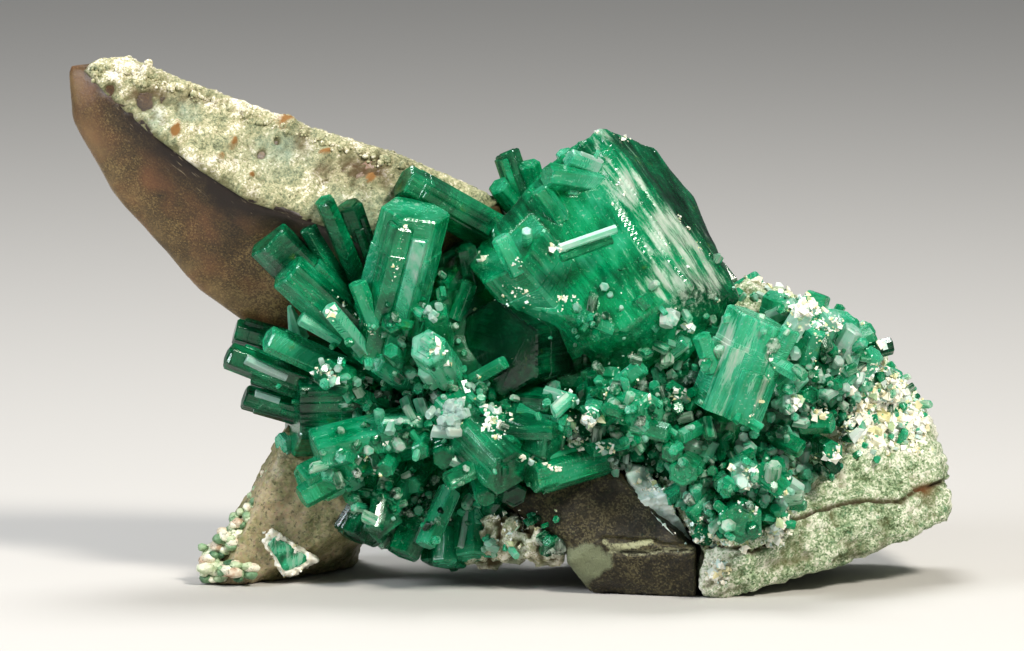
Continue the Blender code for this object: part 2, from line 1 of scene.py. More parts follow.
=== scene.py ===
"""The looks of one emerald specimen: emerald prisms on smoky quartz and pale feldspar.

A place is (across, up, back) in millimetres, as seen from the display side, VIEW_TILT above the
horizon: moving straight back keeps a place where it is in that view. A spot is a soft patch on the
display side, given by its middle and its half sizes, both as (across, up).
"""
import json
import math
import random
from collections import namedtuple

import bmesh
import bpy
from mathutils import Matrix, Quaternion, Vector, noise
from mathutils.bvhtree import BVHTree

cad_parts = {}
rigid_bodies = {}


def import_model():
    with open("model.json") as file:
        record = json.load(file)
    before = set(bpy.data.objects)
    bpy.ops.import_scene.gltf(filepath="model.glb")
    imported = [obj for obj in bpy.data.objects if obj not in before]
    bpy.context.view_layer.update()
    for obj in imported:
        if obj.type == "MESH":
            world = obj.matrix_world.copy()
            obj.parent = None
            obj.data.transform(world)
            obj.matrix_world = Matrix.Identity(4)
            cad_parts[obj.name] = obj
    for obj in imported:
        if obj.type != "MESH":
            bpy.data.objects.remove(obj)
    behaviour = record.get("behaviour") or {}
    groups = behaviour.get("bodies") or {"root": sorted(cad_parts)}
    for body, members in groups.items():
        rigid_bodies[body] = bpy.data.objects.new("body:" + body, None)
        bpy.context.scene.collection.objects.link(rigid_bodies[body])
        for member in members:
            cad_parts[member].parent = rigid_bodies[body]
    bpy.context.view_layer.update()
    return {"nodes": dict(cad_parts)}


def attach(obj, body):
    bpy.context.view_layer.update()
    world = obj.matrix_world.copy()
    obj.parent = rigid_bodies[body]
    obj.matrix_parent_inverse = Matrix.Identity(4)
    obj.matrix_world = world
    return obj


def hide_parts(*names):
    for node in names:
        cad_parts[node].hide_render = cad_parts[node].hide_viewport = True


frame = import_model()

MM = 0.001
SEED = 11
VIEW_TILT = math.radians(7.0)
IMAGE_WIDTH = 1024
IMAGE_HEIGHT = 651
MM_PER_PIXEL = 200.0 / 882.0
ORIGIN_PIXEL = (650, 582)
CAMERA_DISTANCE = 3.0
SENSOR_WIDTH = 36.0
LOOK_FROM = 100.0
RAYS_ALL_ROUND = 1500
# How widely the places in the veils' pattern differ from one crystal to the next, in millimetres.
PATTERN_SHIFT = 50
BERYL_IOR = 1.58
QUARTZ_IOR = 1.544
FELDSPAR_IOR = 1.53

# The crown's broken block. Its streaks run from the first of two places to the second.
CROWN_BLOCK = [
    (-11.8, 103.2, -4), (-5.7, 101.2, 0), (1.1, 98.2, 3), (9.8, 87.5, 3), (11.3, 78.5, -2),
    (20.4, 64, -14), (-6.8, 94.6, -10.5), (9.1, 67.4, -24), (-6.8, 57.1, -27.5), (-34, 64, -22),
    (-36.3, 79.8, -14.4), (-23.8, 93.9, -8.5), (-30, 48, -12), (-12, 44, -14), (8, 50, -16),
    (-20, 90, 18), (5, 89, 20), (17, 66, 22), (-34, 70, 16), (-30, 48, 16), (5, 45, 20),
]
CROWN_STREAKS = [(-7.0, 100.0, 0.0), (20.0, 62.0, -16.0)]
CROWN_RIDGE = Vector((-11.8, 103.2))
RIGHT_OF_RIDGE = Vector((0.77, 0.638))
FROSTED = [
    ((-6.8, 88.5), (4, 5.5)), ((-9, 101.5), (5, 2.5)), ((9.8, 78), (3.6, 6.5)), ((3, 80), (4.5, 7)),
    ((-2, 95), (2, 6)), ((14, 69), (4, 5)), ((-30.4, 65.3), (5.4, 3.6)), ((2, 68), (6, 5)),
    ((-14, 92), (6, 3)), ((7, 64), (4, 3)),
]
FROSTED_EDGES = [[(16, 40), (17.5, 57.5)], [(23.5, 39), (28, 53)]]

# One beryl prism: the places of its foot and tip, the distance between its flats, how milky it is,
# from 0 to 1, its turn about its length in degrees, and its tip's size against its foot's.
Crystal = namedtuple("Crystal", "foot tip width milk turn slim", defaults=(0.0, 0.97))
CRYSTALS = [
    # In the crown.
    ((-7, 46, 0), (-33, 76, -18), 22, 0.45, 8), ((-11.5, 57, 8), (-34, 53, -22), 22, 0.02),
    # On top of it.
    ((-28.5, 85.5, 4), (-32.5, 97.5, 4), 5.5, 0.25), ((-25, 85.5, 6), (-27.5, 95, 2), 5, 0.4),
    ((-29.5, 84.5, 4), (-34.5, 90, 0), 5.5, 0.4), ((-17, 91, 5), (-19.5, 97.5, 2), 4, 0.6),
    ((-10, 90, -8), (-23.5, 92, -15), 6, 0.6), ((-8, 92, -6), (-18.5, 96, -12), 4.5, 0.75),
    ((-8, 79.8, -27), (-20.8, 75.4, -33), 2, 0.9), ((-9, 77.4, -27), (-20.4, 73.2, -33), 1.9, 0.3, 20),
    ((-27.5, 72, -20), (-28, 79.5, -25), 2.6, 0.8),
    # The fan at the upper left.
    ((-56.5, 48, -5), (-86.5, 78, -14), 10.5, 0.22), ((-66, 61.5, -6), (-81, 82.5, -12), 4, 0.2),
    ((-68, 64, -8), (-77.5, 80.5, -14), 4.2, 0.3), ((-64, 64, -8), (-73.5, 86.5, -18), 4.4, 0.3),
    ((-60, 61.5, -4), (-68, 85.5, -14), 6.5, 0.1), ((-61.5, 52.5, -12), (-53, 84.5, -22), 15.5, 0.52),
    ((-34, 78, -6), (-56, 90.5, -14), 8.5, 0.3), ((-56.5, 47, -12), (-82, 70.5, -20), 9, 0.35),
    ((-64.5, 52.5, -20), (-72.5, 62, -27), 3.8, 0.75),
    ((-79.5, 55, -8), (-81.5, 62.5, -12), 4.5, 0.9, 0, 0.3),
    # At the left.
    ((-72.5, 51, -4), (-94, 57, -6), 6, 0.2), ((-75, 43.5, -8), (-95.5, 51.5, -12), 6.2, 0.25),
    ((-75, 41.5, -4), (-90, 46.5, -2), 4.5, 0.3), ((-72.5, 36.5, -4), (-92, 42, -6), 5.6, 0.15),
    ((-68, 47, -10), (-86.5, 55.5, -16), 6, 0.5), ((-52, 40, 0), (-81, 39.5, -6), 20, 0.25),
    ((-47.5, 35.5, -14), (-75.5, 29, -18), 12, 0.5), ((-63.5, 29, -10), (-78.5, 22, -16), 9.5, 0.6),
    ((-60, 31, -12), (-69, 25.5, -22), 5.6, 0.5), ((-60, 27.5, -6), (-68, 19, -14), 5.6, 0.4),
    ((-76, 33, 2), (-84, 31, -3), 5, 0.6), ((-56.5, 32, -14), (-60, 25.5, -24), 4.2, 0.5),
    ((-50, 34.5, -16), (-52, 29.5, -26), 4.2, 0.4), ((-45, 34.5, -18), (-46.5, 28, -28), 5.6, 0.35),
    # Pointing down.
    ((-54.5, 27.5, -8), (-61, 17, -16), 9, 0.4), ((-56.5, 25.5, -6), (-65, 10.5, -14), 9, 0.2),
    ((-60, 25.5, 0), (-69, 10.5, -4), 7, 0.2), ((-47.5, 25.5, -4), (-56, 6, -10), 8, 0.35),
    ((-45.5, 21, -14), (-51, 8.5, -20), 5, 0.65), ((-44, 23, -2), (-47, 4, -8), 10, 0.3),
    ((-41, 23, -4), (-40.5, 5.5, -12), 8, 0.5),
    # In the middle.
    ((-47.5, 53.5, -18), (-48.5, 61.5, -30), 5.6, 0.4), ((-46.5, 48, -18), (-50, 53.5, -34), 8.2, 0.7),
    ((-56, 55.5, -12), (-58.5, 59, -26), 4.6, 0.3), ((-67.5, 45.5, -12), (-73, 47, -27), 7, 0.35),
    ((-56, 50, -12), (-58.5, 52.5, -28), 3.4, 0.6), ((-45.5, 39, -18), (-32, 25, -34), 12.5, 0.35),
    ((-34, 41.5, -16), (-21.5, 40.5, -27), 7, 0.2), ((-36.5, 36.5, -20), (-21.5, 31.5, -31), 9, 0.25),
    ((-10, 29, -20), (-27, 24, -32), 7, 0.4), ((-34, 25.5, -20), (-30.5, 19.5, -28), 6, 0.2),
    ((-38.5, 25.5, -16), (-37, 19, -24), 5, 0.4), ((-13.5, 42.5, -22), (0, 38.5, -38), 8.5, 0.45),
    ((-11.5, 44.5, -20), (-13.5, 38, -36), 4, 0.6),
    # At the right.
    ((16.5, 38.5, -24), (24.5, 60, -24), 15.5, 0.62), ((31.5, 47.5, -4), (36.5, 60.5, -10), 9, 0.5),
    ((38.5, 47.5, 0), (43.5, 60, -5), 8, 0.7), ((27, 55, -2), (29, 65, -4), 7, 0.55),
    ((45.5, 44.5, 6), (49.5, 53.5, 4), 5, 0.2), ((52, 38, 6), (55.5, 48, 4), 4.5, 0.7),
    ((29.5, 41, -14), (31.5, 41, -30), 4.6, 0.9), ((34, 41.5, -10), (36, 42.5, -24), 4.2, 0.3),
    ((38.5, 31, -10), (41, 30, -24), 4.6, 0.4), ((44, 35.5, -6), (45.5, 36, -16), 3.4, 0.1),
    ((19.5, 27.5, -16), (21, 24.5, -36), 7, 0.7), ((14.5, 25.5, -16), (17, 22, -36), 4.4, 0.8),
    ((9, 27.5, -20), (7, 25, -38), 6.4, 0.4), ((4.5, 34.5, -20), (4.5, 29.5, -38), 5, 0.4),
    ((19.5, 18.5, -16), (20, 14, -38), 10, 0.45),
]

# The masses that the crystals grow from: middle and half sizes, both as (across, up, back).
EMERALD_BEDS = [
    ((-34, 50, 2), (31, 23, 24)), ((-60, 42, 2), (20, 16, 15)), ((-2, 62, 0), (20, 24, 20)),
    ((16, 36, -8), (24, 22, 19)), ((34, 47, -2), (18, 14, 13)), ((-50, 20, 2), (19, 15, 14)),
    ((20, 20, -24), (14, 8, 9)), ((-12, 35, -12), (13, 10, 13)), ((-42, 69, -2), (11, 10, 11)),
    ((-36, 20, -4), (9, 8, 10)), ((-38, 62, 20), (19, 19, 17)), ((-4, 36, 14), (19, 14, 15)),
    ((-36, 34, 15), (16, 14, 14)),
]

# Prisms that lie on the display side: foot and tip as (across, up), width, how much nearer the tip
# stands, and how milky it is.
LAID = [
    ((-20, 82), (-25, 89), 4, 1, 0.55), ((-30, 70), (-34, 78), 4.4, 1, 0.6),
    ((-9, 57), (-16, 60), 3.6, 2, 0.5), ((-40, 66), (-42, 76), 5, 1, 0.25),
    ((-44, 60), (-41, 68), 4.2, 1, 0.4), ((-62, 58), (-66, 68), 4, 1, 0.5),
    ((-55, 45), (-62, 50), 4.4, 2, 0.6), ((-60, 40), (-67, 43), 4, 2, 0.5),
    ((-52, 36), (-61, 36), 4.2, 2, 0.6), ((-70, 55), (-79, 60), 3.6, 1, 0.6),
    ((-30, 39), (-19, 36.5), 3.4, 2, 0.5), ((-33, 34), (-22, 34), 3.2, 2, 0.3),
    ((-40, 46), (-33, 50), 3.2, 2, 0.6), ((-24, 43), (-17, 41), 3, 2, 0.7),
    ((-15, 48), (-7, 47), 4.4, 2, 0.6), ((-8, 44), (-2, 49), 4, 2, 0.5), ((2, 50), (8, 55), 4.2, 2, 0.6),
    ((4, 44), (10, 40), 4, 2, 0.5), ((-4, 36), (4, 34), 4.4, 2, 0.4), ((-6, 32), (-14, 30), 3.8, 2, 0.55),
    ((12, 36), (6, 33), 3.6, 2, 0.6), ((14, 48), (11, 56), 4, 1, 0.6), ((27, 60), (33, 63), 4, 1, 0.8),
    ((20, 66), (25, 69), 3.6, 1, 0.7), ((31, 56), (35.5, 63.5), 5.2, 2, 0.85),
    ((38, 54), (41.5, 60.5), 5, 2, 0.8), ((42, 50), (46, 57.5), 4.6, 2, 0.9),
    ((47, 46), (51, 52), 4.4, 2, 0.55), ((35, 50), (37.5, 57), 4.6, 2, 0.7),
    ((27.5, 50), (31.5, 57.5), 4.4, 1, 0.6), ((23, 62), (30.5, 66), 4.4, 1, 0.85),
    ((41, 43), (46, 48), 4.2, 2, 0.6), ((50, 40), (56, 45), 4, 2, 0.5),
    # The four near-white thin prisms from (-82.5, 46.2) to (-41.5, 16) are laid where bright glints show:
    # painted highlights.
    ((30, 43), (34, 47), 4.2, 2, 0.75), ((-82.5, 46.2), (-91.5, 50.6), 2.4, 0.4, 1),
    ((-84, 41), (-89.5, 42.8), 1.8, 0.4, 0.95), ((-50, 17), (-53, 9), 1.6, 0.5, 0.95),
    ((-41.5, 16), (-43, 8), 1.5, 0.5, 0.95), ((-64, 17), (-67, 10), 6, 2, 0.15),
    ((-46, 12), (-46.5, 4), 6.5, 2, 0.5), ((-37, 14), (-36.5, 5.5), 5.5, 1, 0.6),
    ((-71, 24), (-79, 19.5), 5.5, 2, 0.5), ((-61, 19), (-62.5, 12), 4, 3, 0.3),
    ((33, 52), (38, 56), 3.6, 2, 0.6), ((28, 50), (33, 47), 3.2, 2, 0.7),
    ((-66, 22), (-73, 25), 3.6, 2, 0.7), ((-62, 26), (-70, 29), 3.6, 2, 0.6),
    ((-58, 16), (-63, 12), 5.5, 1, 0.2), ((-40, 26), (-46, 23), 4.2, 2, 0.4),
    ((-50, 26), (-54, 22), 4.4, 2, 0.5), ((-34, 15), (-30, 11), 3.4, 1, 0.4),
    ((-20, 11), (-18, 6), 4.2, 1, 0.35), ((-25, 13), (-21, 8.5), 5, 1, 0.25),
    ((24, 26), (30, 21), 4.6, 2, 0.5), ((14, 20), (9, 15), 4.4, 2, 0.5), ((28, 33), (34, 30), 4, 2, 0.5),
    ((34, 36), (41, 36), 4.4, 2, 0.5), ((8, 22), (3, 19), 4, 2, 0.6), ((25, 17), (30, 14), 4, 1, 0.5),
    ((13, 13), (11, 9.5), 4.4, 1, 0.45),
]

# Prisms on the beds' hidden sides: the bed's number, how many, their widths, the way they point,
# and how far from it, in degrees.
BACK, TOP = Vector((0, 1, 0.1)), Vector((0.2, 0.3, 1))
SOWN = [
    (0, 10, (3.5, 9), BACK, 80), (1, 14, (3, 8), BACK, 80), (2, 14, (3.5, 9), BACK, 55),
    (3, 14, (3, 7), BACK, 80), (4, 10, (2.5, 6), BACK, 80), (5, 12, (3, 7), BACK, 75),
    (8, 8, (3, 6), BACK, 70), (10, 24, (4, 11), BACK, 85), (11, 14, (3, 8), BACK, 75),
    (12, 12, (3, 8), BACK, 75), (4, 8, (2.5, 5), TOP, 60),
]

# How a prism is finished: the share of each side that its cut corners take, the width of one
# lengthwise groove in mm, how deep it is against the prism's width, and its end's bevel.
CORNER_CUT = 0.06
GROOVE_WIDTH = 0.7
GROOVE_DEPTH = 0.009
BEVEL_SHARE = 0.07
WIDEST_BEVEL = 0.45
WIDEST_LIP = 14.0


def point(place):
    """Returns a place as a point in metres."""
    across, up, back = place
    height = (up - back * math.sin(VIEW_TILT)) / math.cos(VIEW_TILT)
    return Vector((across, back, height)) * MM


def seen(place):
    """Returns where a point in metres is seen, as (across, up) in millimetres."""
    up = place.z * math.cos(VIEW_TILT) + place.y * math.sin(VIEW_TILT)
    return place.x / MM, up / MM


def draw3(draw, *limits):
    """Returns a vector of three random draws."""
    return Vector([draw(*limits) for _ in range(3)])


def smooth_step(value, low, high):
    """Returns how far a value is from low to high, from 0 to 1, eased at both ends."""
    share = min(1.0, max(0.0, (value - low) / (high - low)))
    return share * share * (3 - 2 * share)


def near_spot(across, up, spots):
    """Returns how near a seen place is to the middle of one of some spots, from 0 to 1."""
    return max(
        math.exp(-((across - x) / wide) ** 2 - ((up - y) / high) ** 2) for (x, y), (wide, high) in spots
    )


def near_path(across, up, path, width):
    """Returns how near a seen place is to a path of seen places, from 0 to 1."""
    here = Vector((across, up))
    nearest = 1e9
    for a, b in zip(path, path[1:]):
        start, run = Vector(a), Vector(b) - Vector(a)
        share = min(1.0, max(0.0, (here - start).dot(run) / run.length_squared))
        nearest = min(nearest, (here - start - run * share).length)
    return math.exp(-(nearest / width) ** 2)


def rough(place, size, octaves=3):
    """Returns layered noise from about -1 to 1 whose largest bumps are size millimetres wide."""
    return noise.fractal(place / MM / size, 0.7, 2.0, octaves)


def cobbles(place, size):
    """Returns rounded bumps from about -0.5 to 0.5, each about size millimetres wide."""
    return 1.0 - min(1.0, noise.voronoi(place / MM / size)[0][0]) - 0.5


def linear(hex_colour):
    """Returns an sRGB hex colour as linear red, green, blue and alpha."""
    channels = [int(hex_colour[i:i + 2], 16) / 255 for i in (1, 3, 5)]
    return tuple(c / 12.92 if c < 0.04045 else ((c + 0.055) / 1.055) ** 2.4 for c in channels) + (1.0,)


def per_mm(size):
    """Returns the texture scale whose pattern repeats about every size millimetres."""
    return 1.0 / (size * MM)


def fill(tree, made, inputs):
    """Gives a node's sockets their values and the links into them."""
    for key, value in inputs.items():
        if isinstance(value, bpy.types.NodeSocket):
            tree.links.new(value, made.inputs[key])
        else:
            made.inputs[key].default_value = value


def node(tree, kind, inputs, stops=(), out=0, **settings):
    """Adds a shader node with its settings, inputs and colour stops, and returns one output."""
    made = tree.nodes.new("ShaderNode" + kind)
    for name, value in settings.items():
        setattr(made, name, value)
    fill(tree, made, inputs)
    while stops and len(made.color_ramp.elements) < len(stops):
        made.color_ramp.elements.new(1.0)
    for number, (place, value) in enumerate(stops):
        element = made.color_ramp.elements[number]
        element.position = place
        element.color = linear(value) if isinstance(value, str) else (value, value, value, 1.0)
    return made.outputs[out]


def new_material(name, *marks):
    """Returns a new material, its tree, the place on the object, and the marks of its points."""
    made = bpy.data.materials.new(name)
    made.use_nodes = True
    tree = made.node_tree
    read = [node(tree, "Attribute", {}, out="Fac", attribute_name=mark) for mark in marks]
    return made, tree, node(tree, "TexCoord", {}, out="Object"), *read


def lay_coats(tree, colour, *coats):
    """Lays coats of colour over one another, each as far as its amount says."""
    for amount, hex_colour in coats:
        colour = node(tree, "Mix", {0: amount, 6: colour, 7: linear(hex_colour)}, out=2, data_type="RGBA")
    return colour


def add_up(tree, tone, *parts):
    """Adds parts to a tone, each a value and its weight."""
    for value, weight in parts:
        tone = node(tree, "Math", {0: value, 1: weight, 2: tone}, operation="MULTIPLY_ADD")
    return tone


def grain_tones(tree, place, size):
    """Returns a random tone from 0 to 1 for each mineral grain of about size millimetres."""
    cells = node(tree, "TexVoronoi", {"Vector": place, "Scale": per_mm(size)}, out="Color")
    return node(tree, "SeparateColor", {"Color": cells})


def finish(tree, looks, height, strength, depth):
    """Gives the shader its looks, and a fine relief that is depth millimetres deep."""
    bump = node(tree, "Bump", {"Height": height, "Strength": strength, "Distance": depth * MM})
    fill(tree, tree.nodes["Principled BSDF"], dict(looks, Normal=bump))


def emerald_material():
    """Emerald: clear green beryl with milky veils, white specks that are partly inclusions and partly painted
    sparkle, and a few yellow-green stains.

    Milkiness is given to each crystal, so glassy dark prisms stand beside pale clouded ones.
    """
    made, tree, place, milk, frost = new_material("emerald_beryl", "milk", "frost")
    grown = node(tree, "Attribute", {}, out="Vector", attribute_name="grown")
    along = node(tree, "VectorMath", {0: grown, 1: (1.0, 1.0, 0.16)}, operation="MULTIPLY")
    clouds = node(tree, "TexNoise", {"Vector": place, "Scale": per_mm(9.0), "Detail": 4.0})
    veil = node(tree, "TexNoise", {"Vector": along, "Scale": per_mm(1.5), "Detail": 5.0, "Roughness": 0.65})
    level = add_up(tree, milk, (clouds, 0.9), (veil, 0.65), (1.0, -0.78))
    body = node(tree, "ValToRGB", {"Fac": level}, stops=[
        (0.0, "#002c1b"), (0.2, "#006a45"), (0.42, "#08ae77"), (0.68, "#4cdbac"), (1.0, "#dcf6ee"),
    ])
    # White specks, strongest in milky parts: partly white inclusions, partly painted sparkle highlights.
    specks = node(tree, "TexNoise", {"Vector": place, "Scale": per_mm(0.6), "Detail": 4.0})
    speck_and_sparkle_mask = node(tree, "ValToRGB", {"Fac": specks}, stops=[(0.62, 0.0), (0.68, 1.0)])
    amount = node(tree, "Math", {0: speck_and_sparkle_mask, 1: level}, operation="MULTIPLY", use_clamp=True)
    stains = node(tree, "TexNoise", {"Vector": place, "Scale": per_mm(6.0), "Detail": 5.0, "Roughness": 0.7})
    stained = node(tree, "ValToRGB", {"Fac": stains}, stops=[(0.63, 0.0), (0.73, 0.5)])
    streaks = add_up(tree, frost, (veil, 1.6))
    frosty = node(tree, "MapRange", {0: streaks, 1: 1.08, 2: 1.45, 3: 0.0, 4: 0.92})
    colour = lay_coats(tree, body, (amount, "#c9efd9"), (stained, "#7fa838"), (frosty, "#eef7ea"))
    clouded = node(tree, "MapRange", {0: level, 1: 0.1, 2: 1.0, 3: 0.05, 4: 0.4})
    roughness = add_up(tree, clouded, (frosty, 0.35))
    looks = {"Base Color": colour, "Roughness": roughness, "IOR": BERYL_IOR, "Transmission Weight": 0.55}
    finish(tree, looks, veil, 0.35, 0.25)
    absorb = node(tree, "VolumeAbsorption", {"Color": (0.0, 0.85, 0.5, 1.0), "Density": 45.0})
    fill(tree, tree.nodes["Material Output"], {"Volume": absorb})
    return made


def smoky_quartz_material():
    """Smoky quartz clouded by tiny inclusions: soft brown, with a painted shadow band under the ridge, satin
    gloss.
    """
    made, tree, place, band, edge = new_material("smoky_quartz", "band", "edge")
    clouds = node(tree, "TexNoise", {"Vector": place, "Scale": per_mm(13.0), "Detail": 5.0})
    fine = node(tree, "TexNoise", {"Vector": place, "Scale": per_mm(0.5), "Detail": 4.0, "Roughness": 0.7})
    tone = add_up(tree, 0.22, (clouds, 0.55), (grain_tones(tree, place, 0.3), 0.26), (fine, 0.4))
    body = node(tree, "ValToRGB", {"Fac": tone}, stops=[
        (0.52, "#21170d"), (0.74, "#3d301c"), (0.9, "#5b492b"), (1.0, "#7e6b44"),
    ])
    red = node(tree, "TexNoise", {"Vector": place, "Scale": per_mm(11.0), "Detail": 2.0})
    redness = node(tree, "MapRange", {0: red, 1: 0.48, 2: 0.68, 3: 0.0, 4: 0.5})
    slant = {"Vector": place, "Angle": math.radians(-40)}
    slanted = node(tree, "VectorRotate", slant, rotation_type="Y_AXIS")
    drawn = node(tree, "VectorMath", {0: slanted, 1: (0.1, 1.0, 1.0)}, operation="MULTIPLY")
    lines = node(tree, "TexNoise", {"Vector": drawn, "Scale": per_mm(0.5), "Detail": 2.0})
    thin = node(tree, "MapRange", {0: lines, 1: 0.66, 2: 0.74, 3: 0.0, 4: 0.4})
    scratched = node(tree, "Math", {0: thin, 1: band}, operation="MULTIPLY")
    # The band coat is painted shade, a dark shadow band under the ridge; the scratch lines show only inside
    # it.
    colour = lay_coats(
        tree, body, (redness, "#84583a"), (edge, "#8f7a54"), (band, "#1f140b"), (scratched, "#b9ab8c"),
    )
    satin = node(tree, "MapRange", {0: fine, 1: 0.3, 2: 0.7, 3: 0.3, 4: 0.5})
    finish(tree, {"Base Color": colour, "Roughness": satin, "IOR": QUARTZ_IOR}, fine, 0.5, 0.16)
    return made


def crust_material():
    """Mineral crust: chalky cream, grey-green and olive grains, with painted shade in the hollows, rusty in
    spots.
    """
    made, tree, place, height, rusty, dark, white, teal = new_material(
        "mineral_crust", "height", "rusty", "dark", "white", "teal",
    )
    patches = node(tree, "TexNoise", {"Vector": place, "Scale": per_mm(4.5), "Detail": 6.0, "Roughness": 0.65})
    fine = node(tree, "TexNoise", {"Vector": place, "Scale": per_mm(0.8), "Detail": 6.0, "Roughness": 0.75})
    tone = add_up(tree, patches, (grain_tones(tree, place, 0.35), 0.22), (fine, 0.45), (white, 0.3))
    body = node(tree, "ValToRGB", {"Fac": tone}, stops=[
        (0.55, "#565b44"), (0.7, "#858c6e"), (0.82, "#a9a985"), (0.95, "#cdc7a5"), (1.0, "#efeada"),
    ])
    cool = node(tree, "Math", {0: teal, 1: 0.7}, operation="MULTIPLY")
    # Painted shade: the lower the crust stands, the darker olive it is painted, so hollows and pits look
    # shaded.
    hollow_shade = node(tree, "MapRange", {0: height, 1: 0.2, 2: 0.95, 3: 0.85, 4: 0.0})
    pits = node(tree, "MapRange", {0: fine, 1: 0.36, 2: 0.44, 3: 0.7, 4: 0.0})
    ragged = node(tree, "MapRange", {0: add_up(tree, rusty, (fine, 0.9)), 1: 0.75, 2: 1.1})
    colour = lay_coats(
        tree, body, (cool, "#93a999"), (hollow_shade, "#5b5a3c"), (pits, "#57523a"), (dark, "#5d4a32"),
        (ragged, "#8f6a3c"),
    )
    finish(tree, {"Base Color": colour, "Roughness": 0.8}, fine, 0.9, 0.4)
    return made


def clouded_quartz_material():
    """Clouded quartz: grey-green and pinkish brown speckle, satin, with fine dark pits."""
    made, tree, place = new_material("clouded_quartz")
    clouds = node(tree, "TexNoise", {"Vector": place, "Scale": per_mm(8.0), "Detail": 5.0, "Roughness": 0.6})
    body = node(tree, "ValToRGB", {"Fac": clouds}, stops=[
        (0.3, "#5d5c3c"), (0.45, "#82805a"), (0.58, "#a3987a"), (0.72, "#b3a07f"),
    ])
    fine = node(tree, "TexNoise", {"Vector": place, "Scale": per_mm(0.9), "Detail": 5.0, "Roughness": 0.65})
    mix = {0: 0.5, 6: body, 7: fine.node.outputs["Color"]}
    speckle = node(tree, "Mix", mix, out=2, data_type="RGBA", blend_type="SOFT_LIGHT")
    grainy = node(tree, "MapRange", {0: grain_tones(tree, place, 0.5), 1: 0.5, 2: 1.0, 3: 0.0, 4: 0.45})
    pits = node(tree, "ValToRGB", {"Fac": fine}, stops=[(0.36, 0.7), (0.44, 0.0)])
    colour = lay_coats(tree, speckle, (grainy, "#c4b894"), (pits, "#4a4228"))
    finish(tree, {"Base Color": colour, "Roughness": 0.5, "IOR": QUARTZ_IOR}, fine, 0.4, 0.2)
    return made


def dark_quartz_material():
    """Dark smoky quartz, broken: brown-black with olive speckle, a paler knob and a pale vein."""
    made, tree, place, pale, vein, crack = new_material("dark_smoky_quartz", "pale", "vein", "crack")
    clouds = node(tree, "TexNoise", {"Vector": place, "Scale": per_mm(6.0), "Detail": 5.0})
    fine = node(tree, "TexNoise", {"Vector": place, "Scale": per_mm(0.5), "Detail": 4.0, "Roughness": 0.75})
    tone = add_up(tree, 0.18, (clouds, 0.6), (grain_tones(tree, place, 0.4), 0.3), (fine, 0.45))
    body = node(tree, "ValToRGB", {"Fac": tone}, stops=[
        (0.52, "#0d0b05"), (0.74, "#211d10"), (0.9, "#37311d"), (1.0, "#5e583d"),
    ])
    smudged = node(tree, "MapRange", {0: add_up(tree, pale, (fine, 0.8)), 1: 0.75, 2: 1.2})
    ragged = node(tree, "Math", {0: vein, 1: fine}, operation="MULTIPLY")
    veins = node(tree, "MapRange", {0: ragged, 1: 0.25, 2: 0.45, 3: 0.0, 4: 0.9})
    colour = lay_coats(tree, body, (smudged, "#7b8266"), (veins, "#b4b692"), (crack, "#171109"))
    gloss = node(tree, "MapRange", {0: clouds, 1: 0.3, 2: 0.7, 3: 0.28, 4: 0.55})
    finish(tree, {"Base Color": colour, "Roughness": gloss, "IOR": QUARTZ_IOR}, fine, 0.8, 0.35)
    return made


def feldspar_material():
    """Feldspar matrix: sugary white and pale green grains with olive-brown flecks, matt, with painted shade in
    its low parts.
    """
    made, tree, place, height, crack, rust, white = new_material(
        "feldspar_matrix", "height", "crack", "rust", "white",
    )
    patches = node(tree, "TexNoise", {"Vector": place, "Scale": per_mm(5.0), "Detail": 7.0, "Roughness": 0.7})
    fine = node(tree, "TexNoise", {"Vector": place, "Scale": per_mm(0.6), "Detail": 6.0, "Roughness": 0.8})
    tilt = {"Vector": place, "Angle": math.radians(20)}
    layered = node(tree, "VectorRotate", tilt, rotation_type="Y_AXIS")
    flat = node(tree, "VectorMath", {0: layered, 1: (0.12, 0.12, 1.0)}, operation="MULTIPLY")
    layers = node(tree, "TexNoise", {"Vector": flat, "Scale": per_mm(1.0), "Detail": 3.0})
    tone = add_up(tree, patches, (grain_tones(tree, place, 0.4), 0.3), (layers, 0.25), (fine, 0.5))
    body = node(tree, "ValToRGB", {"Fac": add_up(tree, 0.0, (tone, 0.8), (white, 0.2))}, stops=[
        (0.6, "#4a5a36"), (0.7, "#718c68"), (0.78, "#9bb28a"), (0.87, "#c9d5b6"), (0.96, "#f4f4e4"),
    ])
    flecks = node(tree, "MapRange", {0: fine, 1: 0.37, 2: 0.44, 3: 0.8, 4: 0.0})
    green = node(tree, "TexNoise", {"Vector": place, "Scale": per_mm(1.5), "Detail": 5.0, "Roughness": 0.7})
    greens = node(tree, "MapRange", {0: green, 1: 0.57, 2: 0.64, 3: 0.0, 4: 0.5})
    # Painted shade: the lower the relief stands, cracks too, the darker olive it is painted.
    deep = node(tree, "MapRange", {0: height, 1: -0.9, 2: 0.0, 3: 0.8, 4: 0.0})
    colour = lay_coats(
        tree, body, (flecks, "#5a5736"), (greens, "#5d9a72"), (deep, "#6a6843"), (crack, "#2b2413"),
        (rust, "#7a4c26"),
    )
    finish(tree, {"Base Color": colour, "Roughness": 0.7}, fine, 0.9, 0.45)
    return made


